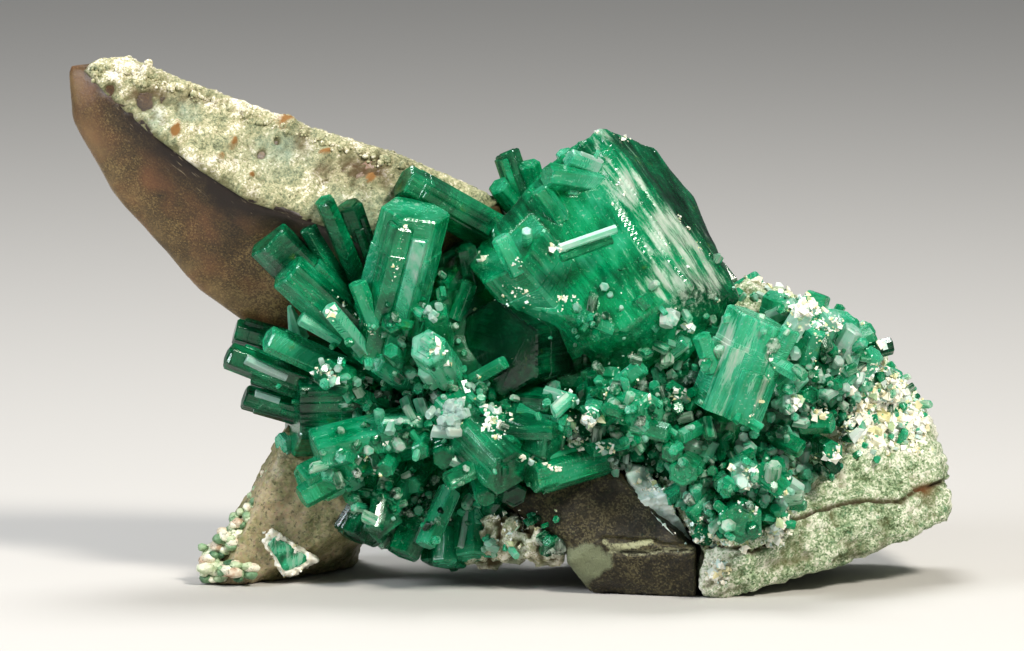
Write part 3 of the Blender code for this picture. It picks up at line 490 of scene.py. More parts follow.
def grain_material():
    """Feldspar grains: milk white to cream, a few greenish, with a soft vitreous gloss."""
    made, tree, place, milk = new_material("feldspar_grains", "milk")
    colour = node(tree, "ValToRGB", {"Fac": milk}, stops=[
        (0.0, "#b9d6cf"), (0.12, "#dcebe6"), (0.3, "#f7f7ee"), (0.75, "#fbf6e2"), (0.9, "#e8dfae"),
        (1.0, "#a9c9a4"),
    ])
    fine = node(tree, "TexNoise", {"Vector": place, "Scale": per_mm(0.5), "Detail": 3.0})
    mix = {0: 0.35, 6: colour, 7: fine.node.outputs["Color"]}
    mottled = node(tree, "Mix", mix, out=2, data_type="RGBA", blend_type="SOFT_LIGHT")
    finish(tree, {"Base Color": mottled, "Roughness": 0.4, "IOR": FELDSPAR_IOR}, fine, 0.4, 0.1)
    return made


def nodule_material():
    """Nodules: waxy pale green to cream, some pinkish brown, with darker hollows."""
    made, tree, place, milk = new_material("green_nodules", "milk")
    clouds = node(tree, "TexNoise", {"Vector": place, "Scale": per_mm(2.2), "Detail": 5.0})
    body = node(tree, "ValToRGB", {"Fac": add_up(tree, 0.0, (clouds, 0.5), (milk, 0.6))}, stops=[
        (0.25, "#3b6146"), (0.4, "#7fa27d"), (0.55, "#b9c9a4"), (0.7, "#ecebd6"), (0.88, "#b39278"),
    ])
    fine = node(tree, "TexNoise", {"Vector": place, "Scale": per_mm(0.7), "Detail": 5.0, "Roughness": 0.65})
    pits = node(tree, "ValToRGB", {"Fac": fine}, stops=[(0.35, 0.7), (0.43, 0.0)])
    colour = lay_coats(tree, body, (pits, "#4f5a3c"))
    finish(tree, {"Base Color": colour, "Roughness": 0.42}, fine, 0.5, 0.2)
    return made


def put(name, data):
    """Adds an object to the scene."""
    made = bpy.data.objects.new(name, data)
    bpy.context.scene.collection.objects.link(made)
    return made


def add_object(name, mesh, material, slot, *nodes):
    """Adds a finished mesh to the scene, in place of CAD nodes."""
    made = put(name, mesh)
    mesh.materials.clear()
    mesh.materials.append(material)
    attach(made, "root")
    if nodes:
        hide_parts(*nodes)
    return made


def evaluated(made):
    """Returns an object's mesh with its modifiers applied."""
    return bpy.data.meshes.new_from_object(made.evaluated_get(bpy.context.evaluated_depsgraph_get()))


def dense(mesh, voxel, smoothing):
    """Returns a finely divided copy of a mesh, with its edges a little rounded."""
    made = put("fine", mesh)
    remesh = made.modifiers.new("Fine", "REMESH")
    remesh.mode = "VOXEL"
    remesh.voxel_size = voxel * MM
    soften = made.modifiers.new("Soften", "SMOOTH")
    soften.factor = 0.5
    soften.iterations = smoothing
    fine = evaluated(made)
    bpy.data.objects.remove(made)
    fine.update()
    return fine


def mark(mesh, domain="POINT", **marks):
    """Stores a number for each point, or for each face, that the materials read."""
    for name, values in marks.items():
        mesh.attributes.new(name, "FLOAT", domain).data.foreach_set("value", values)


def mark_grown(mesh, local):
    """Stores each point's own coordinates, which the veils in a crystal follow."""
    grown = mesh.attributes.new("grown", "FLOAT_VECTOR", "POINT")
    grown.data.foreach_set("vector", [c for v in local for c in v])


def smooth(mesh):
    """Shades a mesh smooth."""
    mesh.polygons.foreach_set("use_smooth", [True] * len(mesh.polygons))


def shape_surface(mesh, relief, marks):
    """Moves each point along its normal by relief, and stores the marks that the material reads.

    relief returns the height in millimetres, and marks returns one value for each name.
    """
    normals = [v.normal.copy() for v in mesh.vertices]
    values = {}
    for vertex, normal in zip(mesh.vertices, normals):
        place = vertex.co.copy()
        height = relief(place, normal)
        vertex.co = place + normal * height * MM
        for key, value in marks(place, normal, height).items():
            values.setdefault(key, []).append(value)
    mark(mesh, **values)
    smooth(mesh)
    mesh.update()


def keep_on_ground(mesh):
    """Presses whatever reaches below the ground flat against it."""
    for vertex in mesh.vertices:
        vertex.co.z = max(vertex.co.z, 0.0)


def dress(cad_node, name, material, slot, voxel, smoothing, relief, marks):
    """Adds the finished piece that stands for one of the CAD's stones."""
    mesh = dense(frame["nodes"][cad_node].data.copy(), voxel, smoothing)
    shape_surface(mesh, relief, marks)
    keep_on_ground(mesh)
    return add_object(name, mesh, material, slot, cad_node)


def closed_mesh(name, vertices, faces):
    """Returns a mesh with every face pointing out."""
    bm = bmesh.new()
    made = [bm.verts.new(vertex) for vertex in vertices]
    for face in faces:
        bm.faces.new([made[i] for i in face])
    bmesh.ops.recalc_face_normals(bm, faces=bm.faces)
    mesh = bpy.data.meshes.new(name)
    bm.to_mesh(mesh)
    bm.free()
    return mesh


def ball(divisions):
    """Returns the points and faces of a round body of radius 1."""
    bm = bmesh.new()
    bmesh.ops.create_icosphere(bm, subdivisions=divisions, radius=1.0)
    points = [v.co.copy() for v in bm.verts]
    faces = [[v.index for v in f.verts] for f in bm.faces]
    bm.free()
    return points, faces


def hexagon(width, rng):
    """Returns the six corners of a hexagon of 120 degree angles and slightly uneven sides."""
    reach = [width / 2 * rng.uniform(0.88, 1.08) for _ in range(6)]
    corners = []
    for side in range(6):
        turn = math.radians(60 * side)
        here, after = reach[side], reach[(side + 1) % 6]
        along = (after - here * math.cos(math.radians(60))) / math.sin(math.radians(60))
        corners.append(Matrix.Rotation(turn, 2) @ Vector((here, along)))
    return corners


def grooved_section(width, rng):
    """Returns the points round a prism's section: six sides with cut corners and fine grooves."""
    corners = hexagon(width, rng)
    points = []
    for side in range(6):
        start, end = corners[side], corners[(side + 1) % 6]
        along = end - start
        inward = Vector((-along.y, along.x)).normalized()
        strips = max(1, round(along.length / GROOVE_WIDTH))
        for k in range(strips + 1):
            at_corner = k in (0, strips)
            jitter = 0.0 if at_corner else rng.uniform(-0.35, 0.35)
            share = CORNER_CUT + (1 - 2 * CORNER_CUT) * (k + jitter) / strips
            depth = 0.0 if at_corner else rng.uniform(0.0, GROOVE_DEPTH) * width
            points.append(start + along * share + inward * depth)
    return points


def prism_rings(length, width, slim, rng):
    """Returns a prism's rings, each a height and a size: growth steps and a bevelled end."""
    bevel = min(BEVEL_SHARE * width, WIDEST_BEVEL)
    steps = rng.choice((0, 1, 1, 2, 3)) if width > 4 else 0
    rings, size = [(0.0, 1.0)], 1.0
    for height in sorted([length * rng.uniform(0.35, 0.93) for _ in range(steps)]):
        taper = 1 + (slim - 1) * height / length
        rings.append((height, size * taper))
        size -= rng.uniform(0.012, 0.035)
        rings.append((height + 0.12 * MM, size * taper))
    lip = slim * size * (1 - 2.2 * bevel / width)
    rings += [(length - bevel * MM, slim * size), (length, lip)]
    if 3 < width < WIDEST_LIP:
        style = rng.random()
        sink = rng.uniform(0.02, 0.05) * width * MM
        if style < 0.35:
            rings += [(length, lip * 0.72), (length + sink, lip * 0.68)]
        elif style < 0.6:
            rings += [(length, lip * 0.86), (length - sink, lip * 0.8)]
    return rings


def add_prism(growth, foot, tip, width, turn, slim, milk, rng):
    """Adds a finished prism to the growth: grooves along it, growth steps and a bevelled end."""
    axis = tip - foot
    frame_turn = axis.to_track_quat("Z", "Y") @ Quaternion((0, 0, 1), math.radians(turn))
    section = grooved_section(width, rng)
    rings = prism_rings(axis.length, width, slim, rng)
    lean = Vector((rng.uniform(-1, 1), rng.uniform(-1, 1))) * rng.choice((0.0, 0.04, 0.1))
    shift = draw3(rng.random) * PATTERN_SHIFT * MM
    vertices, local = [], []
    for height, scale in rings:
        near_end = max(0.0, height / axis.length) ** 4
        for x, y in section:
            here = Vector((x * scale * MM, y * scale * MM, 0))
            here.z = height + (here.x * lean.x + here.y * lean.y) * near_end
            vertices.append(foot + frame_turn @ here)
            local.append(here + shift)
    count = len(section)
    faces = [tuple(reversed(range(count)))]
    for low in range(0, len(vertices) - count, count):
        for k in range(count):
            after = (k + 1) % count
            faces.append((low + k, low + after, low + count + after, low + count + k))
    faces.append(tuple(range(len(vertices) - count, len(vertices))))
    cloudy = rng.uniform(-0.25, 0.05) + 0.22 * milk
    frost = []
    for place, own in zip(vertices, local):
        band = noise.noise(Vector((own.x, own.y, 0.0)) / MM / 2.2)
        edge = max(near_path(*seen(place), path, 2.2) for path in FROSTED_EDGES)
        frost.append(cloudy + 0.25 * band + 0.5 * edge)
    add_growth(growth, vertices, faces, local, milk, frost)


def add_growth(growth, vertices, faces, local, milk, frost, bed=0.0):
    """Adds a closed body to the growth, with the marks that its material and its neighbours read.

    local holds its own coordinates, milk how cloudy it is, frost how whitely streaked each of its
    points is, and bed whether small crystals grow on it.
    """
    mesh = bpy.data.meshes.new("growth")
    mesh.from_pydata([tuple(v) for v in vertices], [], faces)
    milks = milk if isinstance(milk, list) else [milk] * len(faces)
    mark(mesh, "FACE", milk=milks, bed=[bed] * len(faces))
    mark(mesh, frost=frost)
    mark_grown(mesh, local)
    growth.objects.link(bpy.data.objects.new("growth", mesh))


def add_crystal(growth, crystal, rng):
    """Adds a listed crystal, with the smaller parallel ones that grew against it."""
    foot, tip = point(crystal.foot), point(crystal.tip)
    add_prism(growth, foot, tip, crystal.width, crystal.turn, crystal.slim, crystal.milk, rng)
    if crystal.width < 4.4 or crystal.slim < 0.5:
        return
    axis = tip - foot
    across = axis.orthogonal().normalized()
    for _ in range(rng.randint(1, 3)):
        around = Quaternion(axis.normalized(), rng.uniform(0, 2 * math.pi))
        width = crystal.width * rng.uniform(0.25, 0.5)
        side = (around @ across) * (crystal.width / 2 - width * rng.uniform(0.1, 0.35)) * MM
        top = foot + axis * rng.uniform(0.45, 0.98) + side
        milk = min(1.0, max(0.0, crystal.milk + rng.uniform(-0.15, 0.2)))
        add_prism(growth, foot + side, top, width, crystal.turn, 0.98, milk, rng)


def add_bed(growth, bed, rng):
    """Adds one uneven mass that the crystals grow from."""
    centre, (across, up, back) = bed
    points, faces = ball(4)
    shift = draw3(rng.random) * 20
    vertices = []
    for place in points:
        cell = noise.voronoi(place * 3.0 + shift)[0][0]
        swell = 0.96 + 0.3 * noise.noise(place * 1.7 + shift) - 0.12 * cell
        scaled = Vector((place.x * across, place.y * back, place.z * up))
        vertices.append(point(centre) + scaled * swell * MM)
    add_growth(growth, vertices, faces, vertices, 0.2, [0.1] * len(vertices), 1.0)


def add_crown(growth):
    """Adds the crown's broken block: smooth to the left, striated and frosted to the right."""
    bm = bmesh.new()
    made = [bm.verts.new(point(corner)) for corner in CROWN_BLOCK]
    found = bmesh.ops.convex_hull(bm, input=made, use_existing_faces=False)
    inner = [e for e in found["geom_interior"] if isinstance(e, bmesh.types.BMVert)]
    bmesh.ops.delete(bm, geom=inner, context="VERTS")
    bmesh.ops.recalc_face_normals(bm, faces=bm.faces)
    hull = bpy.data.meshes.new("crown")
    bm.to_mesh(hull)
    bm.free()
    mesh = dense(hull, 0.7, 3)
    growing = (point(CROWN_STREAKS[1]) - point(CROWN_STREAKS[0])).normalized()
    turn = growing.to_track_quat("Z", "Y").inverted()
    vertices, local, frost, milk = [], [], [], []
    for vertex in mesh.vertices:
        place = vertex.co
        own = turn @ place
        across, up = seen(place)
        thin = Vector((own.x / 1.7, own.y / 1.7, own.z / 16.0)) / MM
        wide = Vector((own.x / 4.5, own.y / 4.5, own.z / 22.0)) / MM
        beside = (Vector((across, up)) - CROWN_RIDGE).dot(RIGHT_OF_RIDGE)
        facet = smooth_step(beside, -0.5, 1.5)
        right = smooth_step(beside, -16.0, -6.0) * (1 - 0.85 * facet)
        right = max(right, smooth_step(vertex.normal.y, 0.1, 0.5))
        fibres = 0.5 * noise.noise(thin) + 0.9 * noise.noise(wide)
        level = 2.2 * noise.noise(wide * 0.6)
        steps = 0.35 * (math.floor(level) + smooth_step(level - math.floor(level), 0.0, 1.0))
        height = right * (fibres + steps) + (1 - right) * (0.3 * rough(place, 8.0, 2) + 0.3 * steps)
        vertices.append(place + vertex.normal * height * MM)
        local.append(own)
        milk.append(0.38 - 0.2 * facet + 0.1 * rough(place, 12.0, 2))
        white = 0.38 * near_spot(across, up, FROSTED) * (1 - 0.7 * facet)
        frost.append(0.04 + 0.14 * right + white + 0.2 * rough(place, 7.0, 2) * right)
    faces = [list(face.vertices) for face in mesh.polygons]
    add_growth(growth, vertices, faces, local, [milk[face[0]] for face in faces], frost)


def tree_of(objects):
    """Returns a search tree over the faces of some objects."""
    vertices, faces = [], []
    for made in objects:
        first = len(vertices)
        vertices.extend(v.co.copy() for v in made.data.vertices)
        faces.extend([first + i for i in face.vertices] for face in made.data.polygons)
    return BVHTree.FromPolygons(vertices, faces)


def look_at(tree, across, up):
    """Returns what is seen at a place of the display side: point, normal, face and distance."""
    way = (point((0, 0, 1)) - point((0, 0, 0))).normalized()
    return tree.ray_cast(point((across, up, -LOOK_FROM)), way)


def add_laid(growth, tree, laid, rng):
    """Adds a prism that lies on the display side of the growth, its tip a little nearer."""
    start, end, width, lift, milk = laid
    foot, tip = look_at(tree, *start)[0], look_at(tree, *end)[0]
    if foot is None and tip is None:
        return
    back = (foot or tip).y / MM
    ahead = min(back, (tip or foot).y / MM) - lift
    foot = point((*start, back + width * 0.35))
    tip = point((*end, ahead + width * 0.2))
    add_prism(growth, foot, tip, width, rng.uniform(0, 60), 0.97, milk, rng)


def sow(growth, bed, count, widths, side, spread, rng):
    """Adds prisms that stand out of a bed on one of its sides."""
    centre, (across, up, back) = bed
    placed = 0
    while placed < count:
        out = draw3(rng.gauss, 0, 1).normalized()
        if out.angle(side) > math.radians(spread):
            continue
        width = rng.uniform(*widths)
        surface = Vector((out.x * across, out.y * back, out.z * up)) * MM
        way = (out + draw3(rng.uniform, -1, 1) * 0.4).normalized()
        foot = point(centre) + surface * 0.7
        tip = point(centre) + surface + way * width * rng.uniform(0.5, 1.5) * MM
        placed += 1
        if tip.z > (width / 2 + 1) * MM:
            add_prism(growth, foot, tip, width, rng.uniform(0, 60), 0.97, rng.uniform(0.15, 0.7), rng)


def unite(name, growth):
    """Returns one closed skin round every body of the growth."""
    parts = list(growth.objects)
    first = parts[0]
    growth.objects.unlink(first)
    bpy.context.scene.collection.objects.link(first)
    join = first.modifiers.new("Join", "BOOLEAN")
    join.operation = "UNION"
    join.solver = "MANIFOLD"
    join.operand_type = "COLLECTION"
    join.collection = growth
    mesh = evaluated(first)
    mesh.name = name
    for part in parts:
        bpy.data.objects.remove(part)
    bpy.data.collections.remove(growth)
    return mesh


def make_emeralds(beryl):
    """The emeralds that overlap, as one piece."""
    rng = random.Random(SEED)
    growth = bpy.data.collections.new("growth")
    bpy.context.scene.collection.children.link(growth)
    add_crown(growth)
    for bed in EMERALD_BEDS:
        add_bed(growth, bed, rng)
    for crystal in CRYSTALS:
        add_crystal(growth, Crystal(*crystal), rng)
    for bed, count, widths, side, spread in SOWN:
        sow(growth, EMERALD_BEDS[bed], count, widths, side, spread, rng)
    tree = tree_of(growth.objects)
    for laid in LAID:
        add_laid(growth, tree, laid, rng)
    return add_object("emeralds", unite("emeralds", growth), beryl, "emerald", "emerald_cluster")


# Sections of the long quartz: its lower edge, its ridge and its upper edge as (across, up), then
# how far back its middle is and half its thickness.
LONG_QUARTZ_SECTIONS = [
    ((-131.5, 114), (-128.5, 116.5), (-127.5, 117.5), -1, 3),
    ((-130.5, 104.5), (-123, 110.5), (-119, 118), 0, 10),
    ((-122, 89), (-113.5, 102), (-105.5, 112.5), 2, 16),
    ((-112, 77.5), (-101.5, 93), (-91.5, 107.5), 4, 20), ((-102, 66.5), (-90.5, 86), (-77, 102), 7, 23),
    ((-88, 56), (-73.5, 80.5), (-57, 96), 10, 25), ((-72.5, 47), (-56.5, 72.5), (-34, 85.5), 13, 25),
    ((-60, 48), (-47, 66), (-30, 78), 14, 15),
]
RIDGE = [section[1] for section in LONG_QUARTZ_SECTIONS]
LOWER_EDGE = [section[0] for section in LONG_QUARTZ_SECTIONS]


def section_corners(section):
    """Returns the six corners of the long quartz at one of its sections."""
    lower, ridge, upper, depth, half = section
    far = tuple(2 * ((a + b) / 2) - c for a, b, c in zip(lower, upper, ridge))
    corners = ((ridge, -1), (upper, -0.5), (upper, 0.5), (far, 1), (lower, 0.5), (lower, -0.5))
    return [point((*corner, depth + half * share)) for corner, share in corners]


def ring_at(along):
    """Returns the six corners of the long quartz at a place along it, in sections."""
    part = min(int(along), len(LONG_QUARTZ_SECTIONS) - 2)
    near, far = LONG_QUARTZ_SECTIONS[part:part + 2]
    pairs = zip(section_corners(near), section_corners(far))
    return [a.lerp(b, along - part) for a, b in pairs]


def make_long_quartz():
    """The long smoky quartz crystal: smooth, a little wavy, with fine lines across its length."""
    length_way = (point((-60, 60, 8)) - point((-128, 116, 0))).normalized()

    def relief(place, normal):
        lines = noise.noise(Vector((place.dot(length_way) / MM / 1.3, 0.0, 3.0)))
        return 0.35 * rough(place, 14.0, 2) + 0.06 * lines - 0.08 * abs(rough(place, 3.0, 2))

    def marks(place, normal, height):
        across, up = seen(place)
        front = 1.0 if normal.y < 0.2 else 0.0
        inner = min(1.0, max(0.0, (across + 128) / 12))
        patchy = 0.5 + 0.5 * rough(place, 5.0, 3)
        # band is painted shade: a dark shadow band along the ridge on the front faces, widened by two painted
        # shade spots just under it, and varied by patchy noise.
        band = near_path(across, up, RIDGE, 5.0) * front
        ridge_shade_spots = 0.7 * near_spot(across, up, [((-95.0, 87.5), (7.0, 4.5))])
        ridge_shade_spots += 0.4 * near_spot(across, up, [((-72.0, 78.0), (14.0, 5.0))])
        return {
            "band": min(1.0, (band * (0.75 + 0.5 * patchy) + ridge_shade_spots * patchy * front) * inner),
            # A paler strip along the lower edge, varied by the same noise.
            "edge": 0.6 * near_path(across, up, LOWER_EDGE, 4.0) * patchy,
        }

    material = smoky_quartz_material()
    return dress("long_quartz", "long_quartz_crystal", material, "smoky_quartz", 1.0, 6, relief, marks)


# The crust on the long quartz: how far it reaches along the sections and round them, in how many
# steps, how deep it is sunk in millimetres, and where it is coloured. A pit has its middle and its
# reach.
CRUST_ALONG = (0.12, 5.97)
CRUST_EDGES = (-0.02, 0.86)
CRUST_STEPS = (330, 54)
CRUST_DEPTH = 1.2
CRUST_WHITE = [((-122.5, 115.6), (4, 2.5)), ((-86.2, 107.5), (10, 3.5)), ((-101, 94), (12, 1.6))]
CRUST_TEAL = [
    ((-105, 105.9), (3, 2.5)), ((-83.9, 96.8), (8.5, 5)), ((-111.8, 104), (3.5, 3.5)),
    ((-66, 84), (8, 4)),
]
CRUST_DARK = [
    ((-113.8, 110.2), (5, 1.6)), ((-64.6, 93), (7, 3.6)), ((-73.9, 92.9), (2.5, 2.3)),
    ((-104, 109), (4, 1.5)), ((-79, 99), (2, 3)),
]
CRUST_RUSTY = [
    ((-107.5, 102.3), (1.3, 2.1)), ((-94.8, 98.9), (1.5, 1.6)), ((-97.3, 95.9), (1.2, 1.3)),
    ((-83.2, 103), (2.3, 2)), ((-63.7, 90.7), (1.3, 1.5)), ((-74, 96.5), (1.5, 1)),
    ((-90, 92), (0.8, 0.8)),
]
CRUST_PITS = [((-88, 96.4), 0.9), ((-122, 111.5), 1.1), ((-114, 108), 1.4), ((-84.5, 99.5), 0.8)]


def crust_point(seat, rim):
    """Returns how high the crust stands over its seat, in millimetres, and the marks it has there."""
    across, up = seen(seat)
    rusty, dark = near_spot(across, up, CRUST_RUSTY), near_spot(across, up, CRUST_DARK)
    bumps = 0.45 * rough(seat, 4.0) + 0.6 * cobbles(seat, 1.7) + 0.45 * cobbles(seat, 0.8)
    height = 1.0 + bumps * (1 + dark) + 0.4 * rough(seat, 16.0, 1) + 1.3 * rusty - 0.4 * dark
    for (pit_across, pit_up), reach in CRUST_PITS:
        gone = ((across - pit_across) ** 2 + (up - pit_up) ** 2) / reach ** 2
        height -= 2.2 * math.exp(-gone)
    patchy = min(1.0, max(0.0, (rim + 1.2 * rough(seat, 2.4, 2)) / 2.2))
    soft = 0.6 + 0.5 * rough(seat, 2.5, 2)
    return height * patchy - 0.35 * (1 - patchy), {
        "rusty": min(1.0, 1.4 * rusty * soft), "dark": min(1.0, 1.1 * dark * soft),
        "white": near_spot(across, up, CRUST_WHITE) * soft,
        "teal": near_spot(across, up, CRUST_TEAL) * soft, "height": height * patchy,
    }


def make_quartz_crust(crust):
    """The pale crust on the long quartz: cobbled, pitted, ragged where it thins out."""
    steps_along, steps_round = CRUST_STEPS
    marks = {"rusty": [], "dark": [], "white": [], "teal": [], "height": []}
    vertices = []
    first, last = CRUST_ALONG
    start, end = CRUST_EDGES
    for outer in (True, False):
        for i in range(steps_along + 1):
            ring = ring_at(first + (last - first) * i / steps_along)
            core = sum(ring, Vector()) / 6
            for j in range(steps_round + 1):
                around = max(0.0, start + (1.0 + end - start) * j / steps_round)
                edge = min(int(around), 1)
                seat = ring[edge].lerp(ring[edge + 1], around - edge)
                lift, found = -CRUST_DEPTH, {}
                if outer:
                    rim = (i * 0.35, (steps_along - i) * 0.35 + 1.0, j * 0.55, (steps_round - j) * 0.8)
                    lift, found = crust_point(seat, min(rim))
                vertices.append(seat + (seat - core).normalized() * lift * MM)
                for key, values in marks.items():
                    values.append(found.get(key, 0.0))
    row = steps_round + 1
    skin = (steps_along + 1) * row
    faces = []
    for i in range(steps_along):
        for j in range(steps_round):
            a, b = i * row + j, i * row + j + skin
            faces += [(a, a + 1, a + 1 + row, a + row), (b, b + row, b + 1 + row, b + 1)]
    sides = [(i * row + j, row, j > 0) for i in range(steps_along) for j in (0, steps_round)]
    sides += [(i * row + j, 1, i == 0) for j in range(steps_round) for i in (0, steps_along)]
    for a, step, flip in sides:
        quad = (a, a + step, a + step + skin, a + skin)
        faces.append(quad[::-1] if flip else quad)
    mesh = closed_mesh("quartz_crust_skin", vertices, faces)
    mark(mesh, **marks)
    smooth(mesh)
    return add_object("quartz_crust_skin", mesh, crust, "pale_crust", "quartz_crust")


def make_foot_quartz():
    """The quartz crystal at the lower left: cloudy, finely pitted, with worn edges."""
    def relief(place, normal):
        steps = 0.5 * round(2.0 * rough(place, 11.0, 1))
        return 0.6 * rough(place, 7.0, 3) + steps - 0.4 * max(0.0, rough(place, 1.8, 2))

    def marks(place, normal, height):
        return {"height": height}

    material = clouded_quartz_material()
    return dress("foot_quartz", "foot_quartz_crystal", material, "smoky_quartz", 0.8, 5, relief, marks)


BASE_CRACK = [(-9.1, 7.4), (-4.5, 6.8), (-0.7, 7), (2.7, 7.7), (7.7, 7.4), (11.1, 8.4)]
BASE_VEIN = [(-10.4, 9.5), (-9.1, 8.4), (-4.5, 8.8), (0, 9.3)]
SLAB_CRACK = [
    (11.1, 8.4), (14.5, 9.5), (16, 8.4), (19.5, 8.3), (23.1, 6.9), (27.4, 9.1), (30.4, 12.1),
    (32.4, 14.8), (36.1, 15.9), (40.8, 17.3), (46.9, 18.8), (57.1, 18.4), (60.3, 20.9), (67.1, 22.8),
]


def make_base_quartz():
    """The dark quartz under the middle: chipped, speckled, split by a crack with a pale vein."""
    def relief(place, normal):
        height = 0.4 * rough(place, 6.0, 3) + 0.25 * cobbles(place, 2.4)
        if normal.y < -0.1:
            height -= 1.2 * near_path(*seen(place), BASE_CRACK, 0.35)
            height += 0.3 * near_path(*seen(place), BASE_VEIN, 0.8)
        return height

    def marks(place, normal, height):
        across, up = seen(place)
        front = 1.0 if normal.y < 0.0 else 0.0
        away = math.hypot((across + 14.0) / 5.5, (up - 4.5) / 5.5) + 0.35 * rough(place, 4.0, 3)
        return {
            "vein": 0.9 * near_path(across, up, BASE_VEIN + BASE_CRACK, 0.9) * front,
            "crack": near_path(across, up, BASE_CRACK, 0.3) * front,
            "pale": 0.8 * (1 - smooth_step(away, 0.6, 1.25)) * front,
        }

    material = dark_quartz_material()
    return dress("base_quartz", "base_quartz_block", material, "dark_quartz", 0.7, 3, relief, marks)


def make_matrix_slab():
    """The feldspar slab: granular, layered, cracked along its length, whiter at its top and foot."""
    def relief(place, normal):
        across, up = seen(place)
        crack = near_path(across, up, SLAB_CRACK, 0.38) if normal.y < 0.1 else 0.0
        layers = noise.noise(Vector(((up - 0.36 * across) * 0.9, across * 0.06, place.y / MM * 0.05)))
        grains = 0.6 * cobbles(place, 1.6) + 0.3 * rough(place, 0.9, 2)
        return 0.9 * rough(place, 6.0, 3) + 0.6 * layers + grains - 1.8 * crack

    def marks(place, normal, height):
        across, up = seen(place)
        front = 1.0 if normal.y < 0.1 else 0.0
        crack = near_path(across, up, SLAB_CRACK, 0.32) * front
        rust = 0.8 * near_spot(across, up, [((62.5, 21.0), (2.5, 1.5))]) * front + 0.12 * crack
        top = 1.5 * near_spot(across, up, [((54, 40), (14, 8))])
        foot = near_spot(across, up, [((15, 3), (4.5, 6))])
        return {"height": height, "crack": crack, "rust": rust, "white": max(top, foot) * front}

    return dress("matrix_slab", "feldspar_slab", feldspar_material(), "feldspar", 0.75, 2, relief, marks)


def make_pale_crust(crust):
    """The lump of crust below the middle: knobbly, hollowed, with greenish and rusty grains and painted shade
    in its hollows.
    """
    def hollow_at(place):
        return smooth_step(-rough(place, 3.2, 2), 0.15, 0.5)

    def relief(place, normal):
        grains = 1.2 * cobbles(place, 2.6) + 0.6 * cobbles(place, 1.2)
        return 1.0 * rough(place, 5.0, 3) + grains - 1.4 * hollow_at(place)

    def marks(place, normal, height):
        hollow_shade = hollow_at(place)
        # Painted shade: the hollows are painted dark and less white.
        return {
            "height": height + 0.9, "white": 0.35 - 0.3 * hollow_shade, "dark": 0.7 * hollow_shade,
            "teal": 0.35 + 0.7 * rough(place, 4.0, 2),
        }

    return dress("pale_crust", "crust_lump", crust, "pale_crust", 0.6, 2, relief, marks)


class Gathering:
    """Many small bodies that become one mesh."""

    def __init__(self):
        self.vertices, self.faces, self.milk, self.grown, self.frost = [], [], [], [], []

    def add(self, vertices, faces, milk, grown, frost=0.3):
        """Adds one closed body, with its milkiness, its own coordinates and its frost."""
        first = len(self.vertices)
        self.vertices.extend(vertices)
        self.faces.extend([first + i for i in face] for face in faces)
        self.milk.extend([milk] * len(faces))
        self.grown.extend(grown)
        self.frost.extend([frost] * len(vertices))

    def mesh(self, name):
        """Returns the mesh of all the bodies."""
        made = bpy.data.meshes.new(name)
        made.from_pydata([tuple(v) for v in self.vertices], [], self.faces)
        mark(made, "FACE", milk=self.milk)
        mark(made, frost=self.frost)
        mark_grown(made, self.grown)
        return made


def add_small_prism(gathering, foot, way, width, length, milk, rng):
    """Adds a small six-sided crystal with a bevelled end, and a pointed one now and then."""
    corners = hexagon(width, rng)
    turn = way.to_track_quat("Z", "Y") @ Quaternion((0, 0, 1), rng.uniform(0, math.pi / 3))
    bevel = min(0.14 * width, 0.3 * length)
    end = 0.25 if rng.random() < 0.15 else 0.78
    slope = Vector((rng.uniform(-0.3, 0.3), rng.uniform(-0.3, 0.3)))
    vertices, grown = [], []
    shift = draw3(rng.random) * PATTERN_SHIFT * MM
    for height, size in ((-0.4 * width, 1.0), (length - bevel, 0.97), (length, end)):
        for x, y in corners:
            here = Vector((x * size, y * size, height + (x * slope.x + y * slope.y) * (height > 0))) * MM
            vertices.append(foot + turn @ here)
            grown.append(here + shift)
    faces = [(5, 4, 3, 2, 1, 0), (12, 13, 14, 15, 16, 17)]
    for ring in (0, 6):
        for k in range(6):
            after = (k + 1) % 6
            faces.append((ring + k, ring + after, ring + 6 + after, ring + 6 + k))
    gathering.add(vertices, faces, milk, grown, rng.uniform(0.0, 0.5))


def random_turn(rng):
    """Returns a turn to any side."""
    return Quaternion([rng.gauss(0, 1) for _ in range(4)]).normalized()


def add_grain(gathering, place, size, flat, rng):
    """Adds a small uneven block, flattened by flat, turned any way."""
    turn = random_turn(rng)
    vertices = []
    for corner in range(8):
        here = Vector((corner // 4 - 0.5, corner // 2 % 2 - 0.5, corner % 2 - 0.5))
        here += draw3(rng.uniform, -0.33, 0.33)
        here.z *= flat
        vertices.append(place + turn @ here * size * MM)
    faces = ((0, 1, 3, 2), (4, 6, 7, 5), (0, 4, 5, 1), (2, 3, 7, 6), (0, 2, 6, 4), (1, 5, 7, 3))
    gathering.add(vertices, faces, rng.random(), vertices)


def add_nodule(gathering, centre, sizes, rng, divisions):
    """Adds a rounded body with a rough, dimpled skin."""
    points, faces = ball(divisions)
    shift = draw3(rng.random) * 30
    turn = random_turn(rng)
    vertices, grown = [], []
    for place in points:
        swell = 1 + 0.2 * noise.noise(place * 1.6 + shift) + 0.07 * noise.noise(place * 5 + shift)
        here = turn @ place * swell
        vertices.append(centre + Vector([here[i] * sizes[i] for i in range(3)]) * MM)
        grown.append(place * swell)
    gathering.add(vertices, faces, rng.random(), grown)


CRYSTAL, BED, STONE = 0.0, 1.0, 2.0


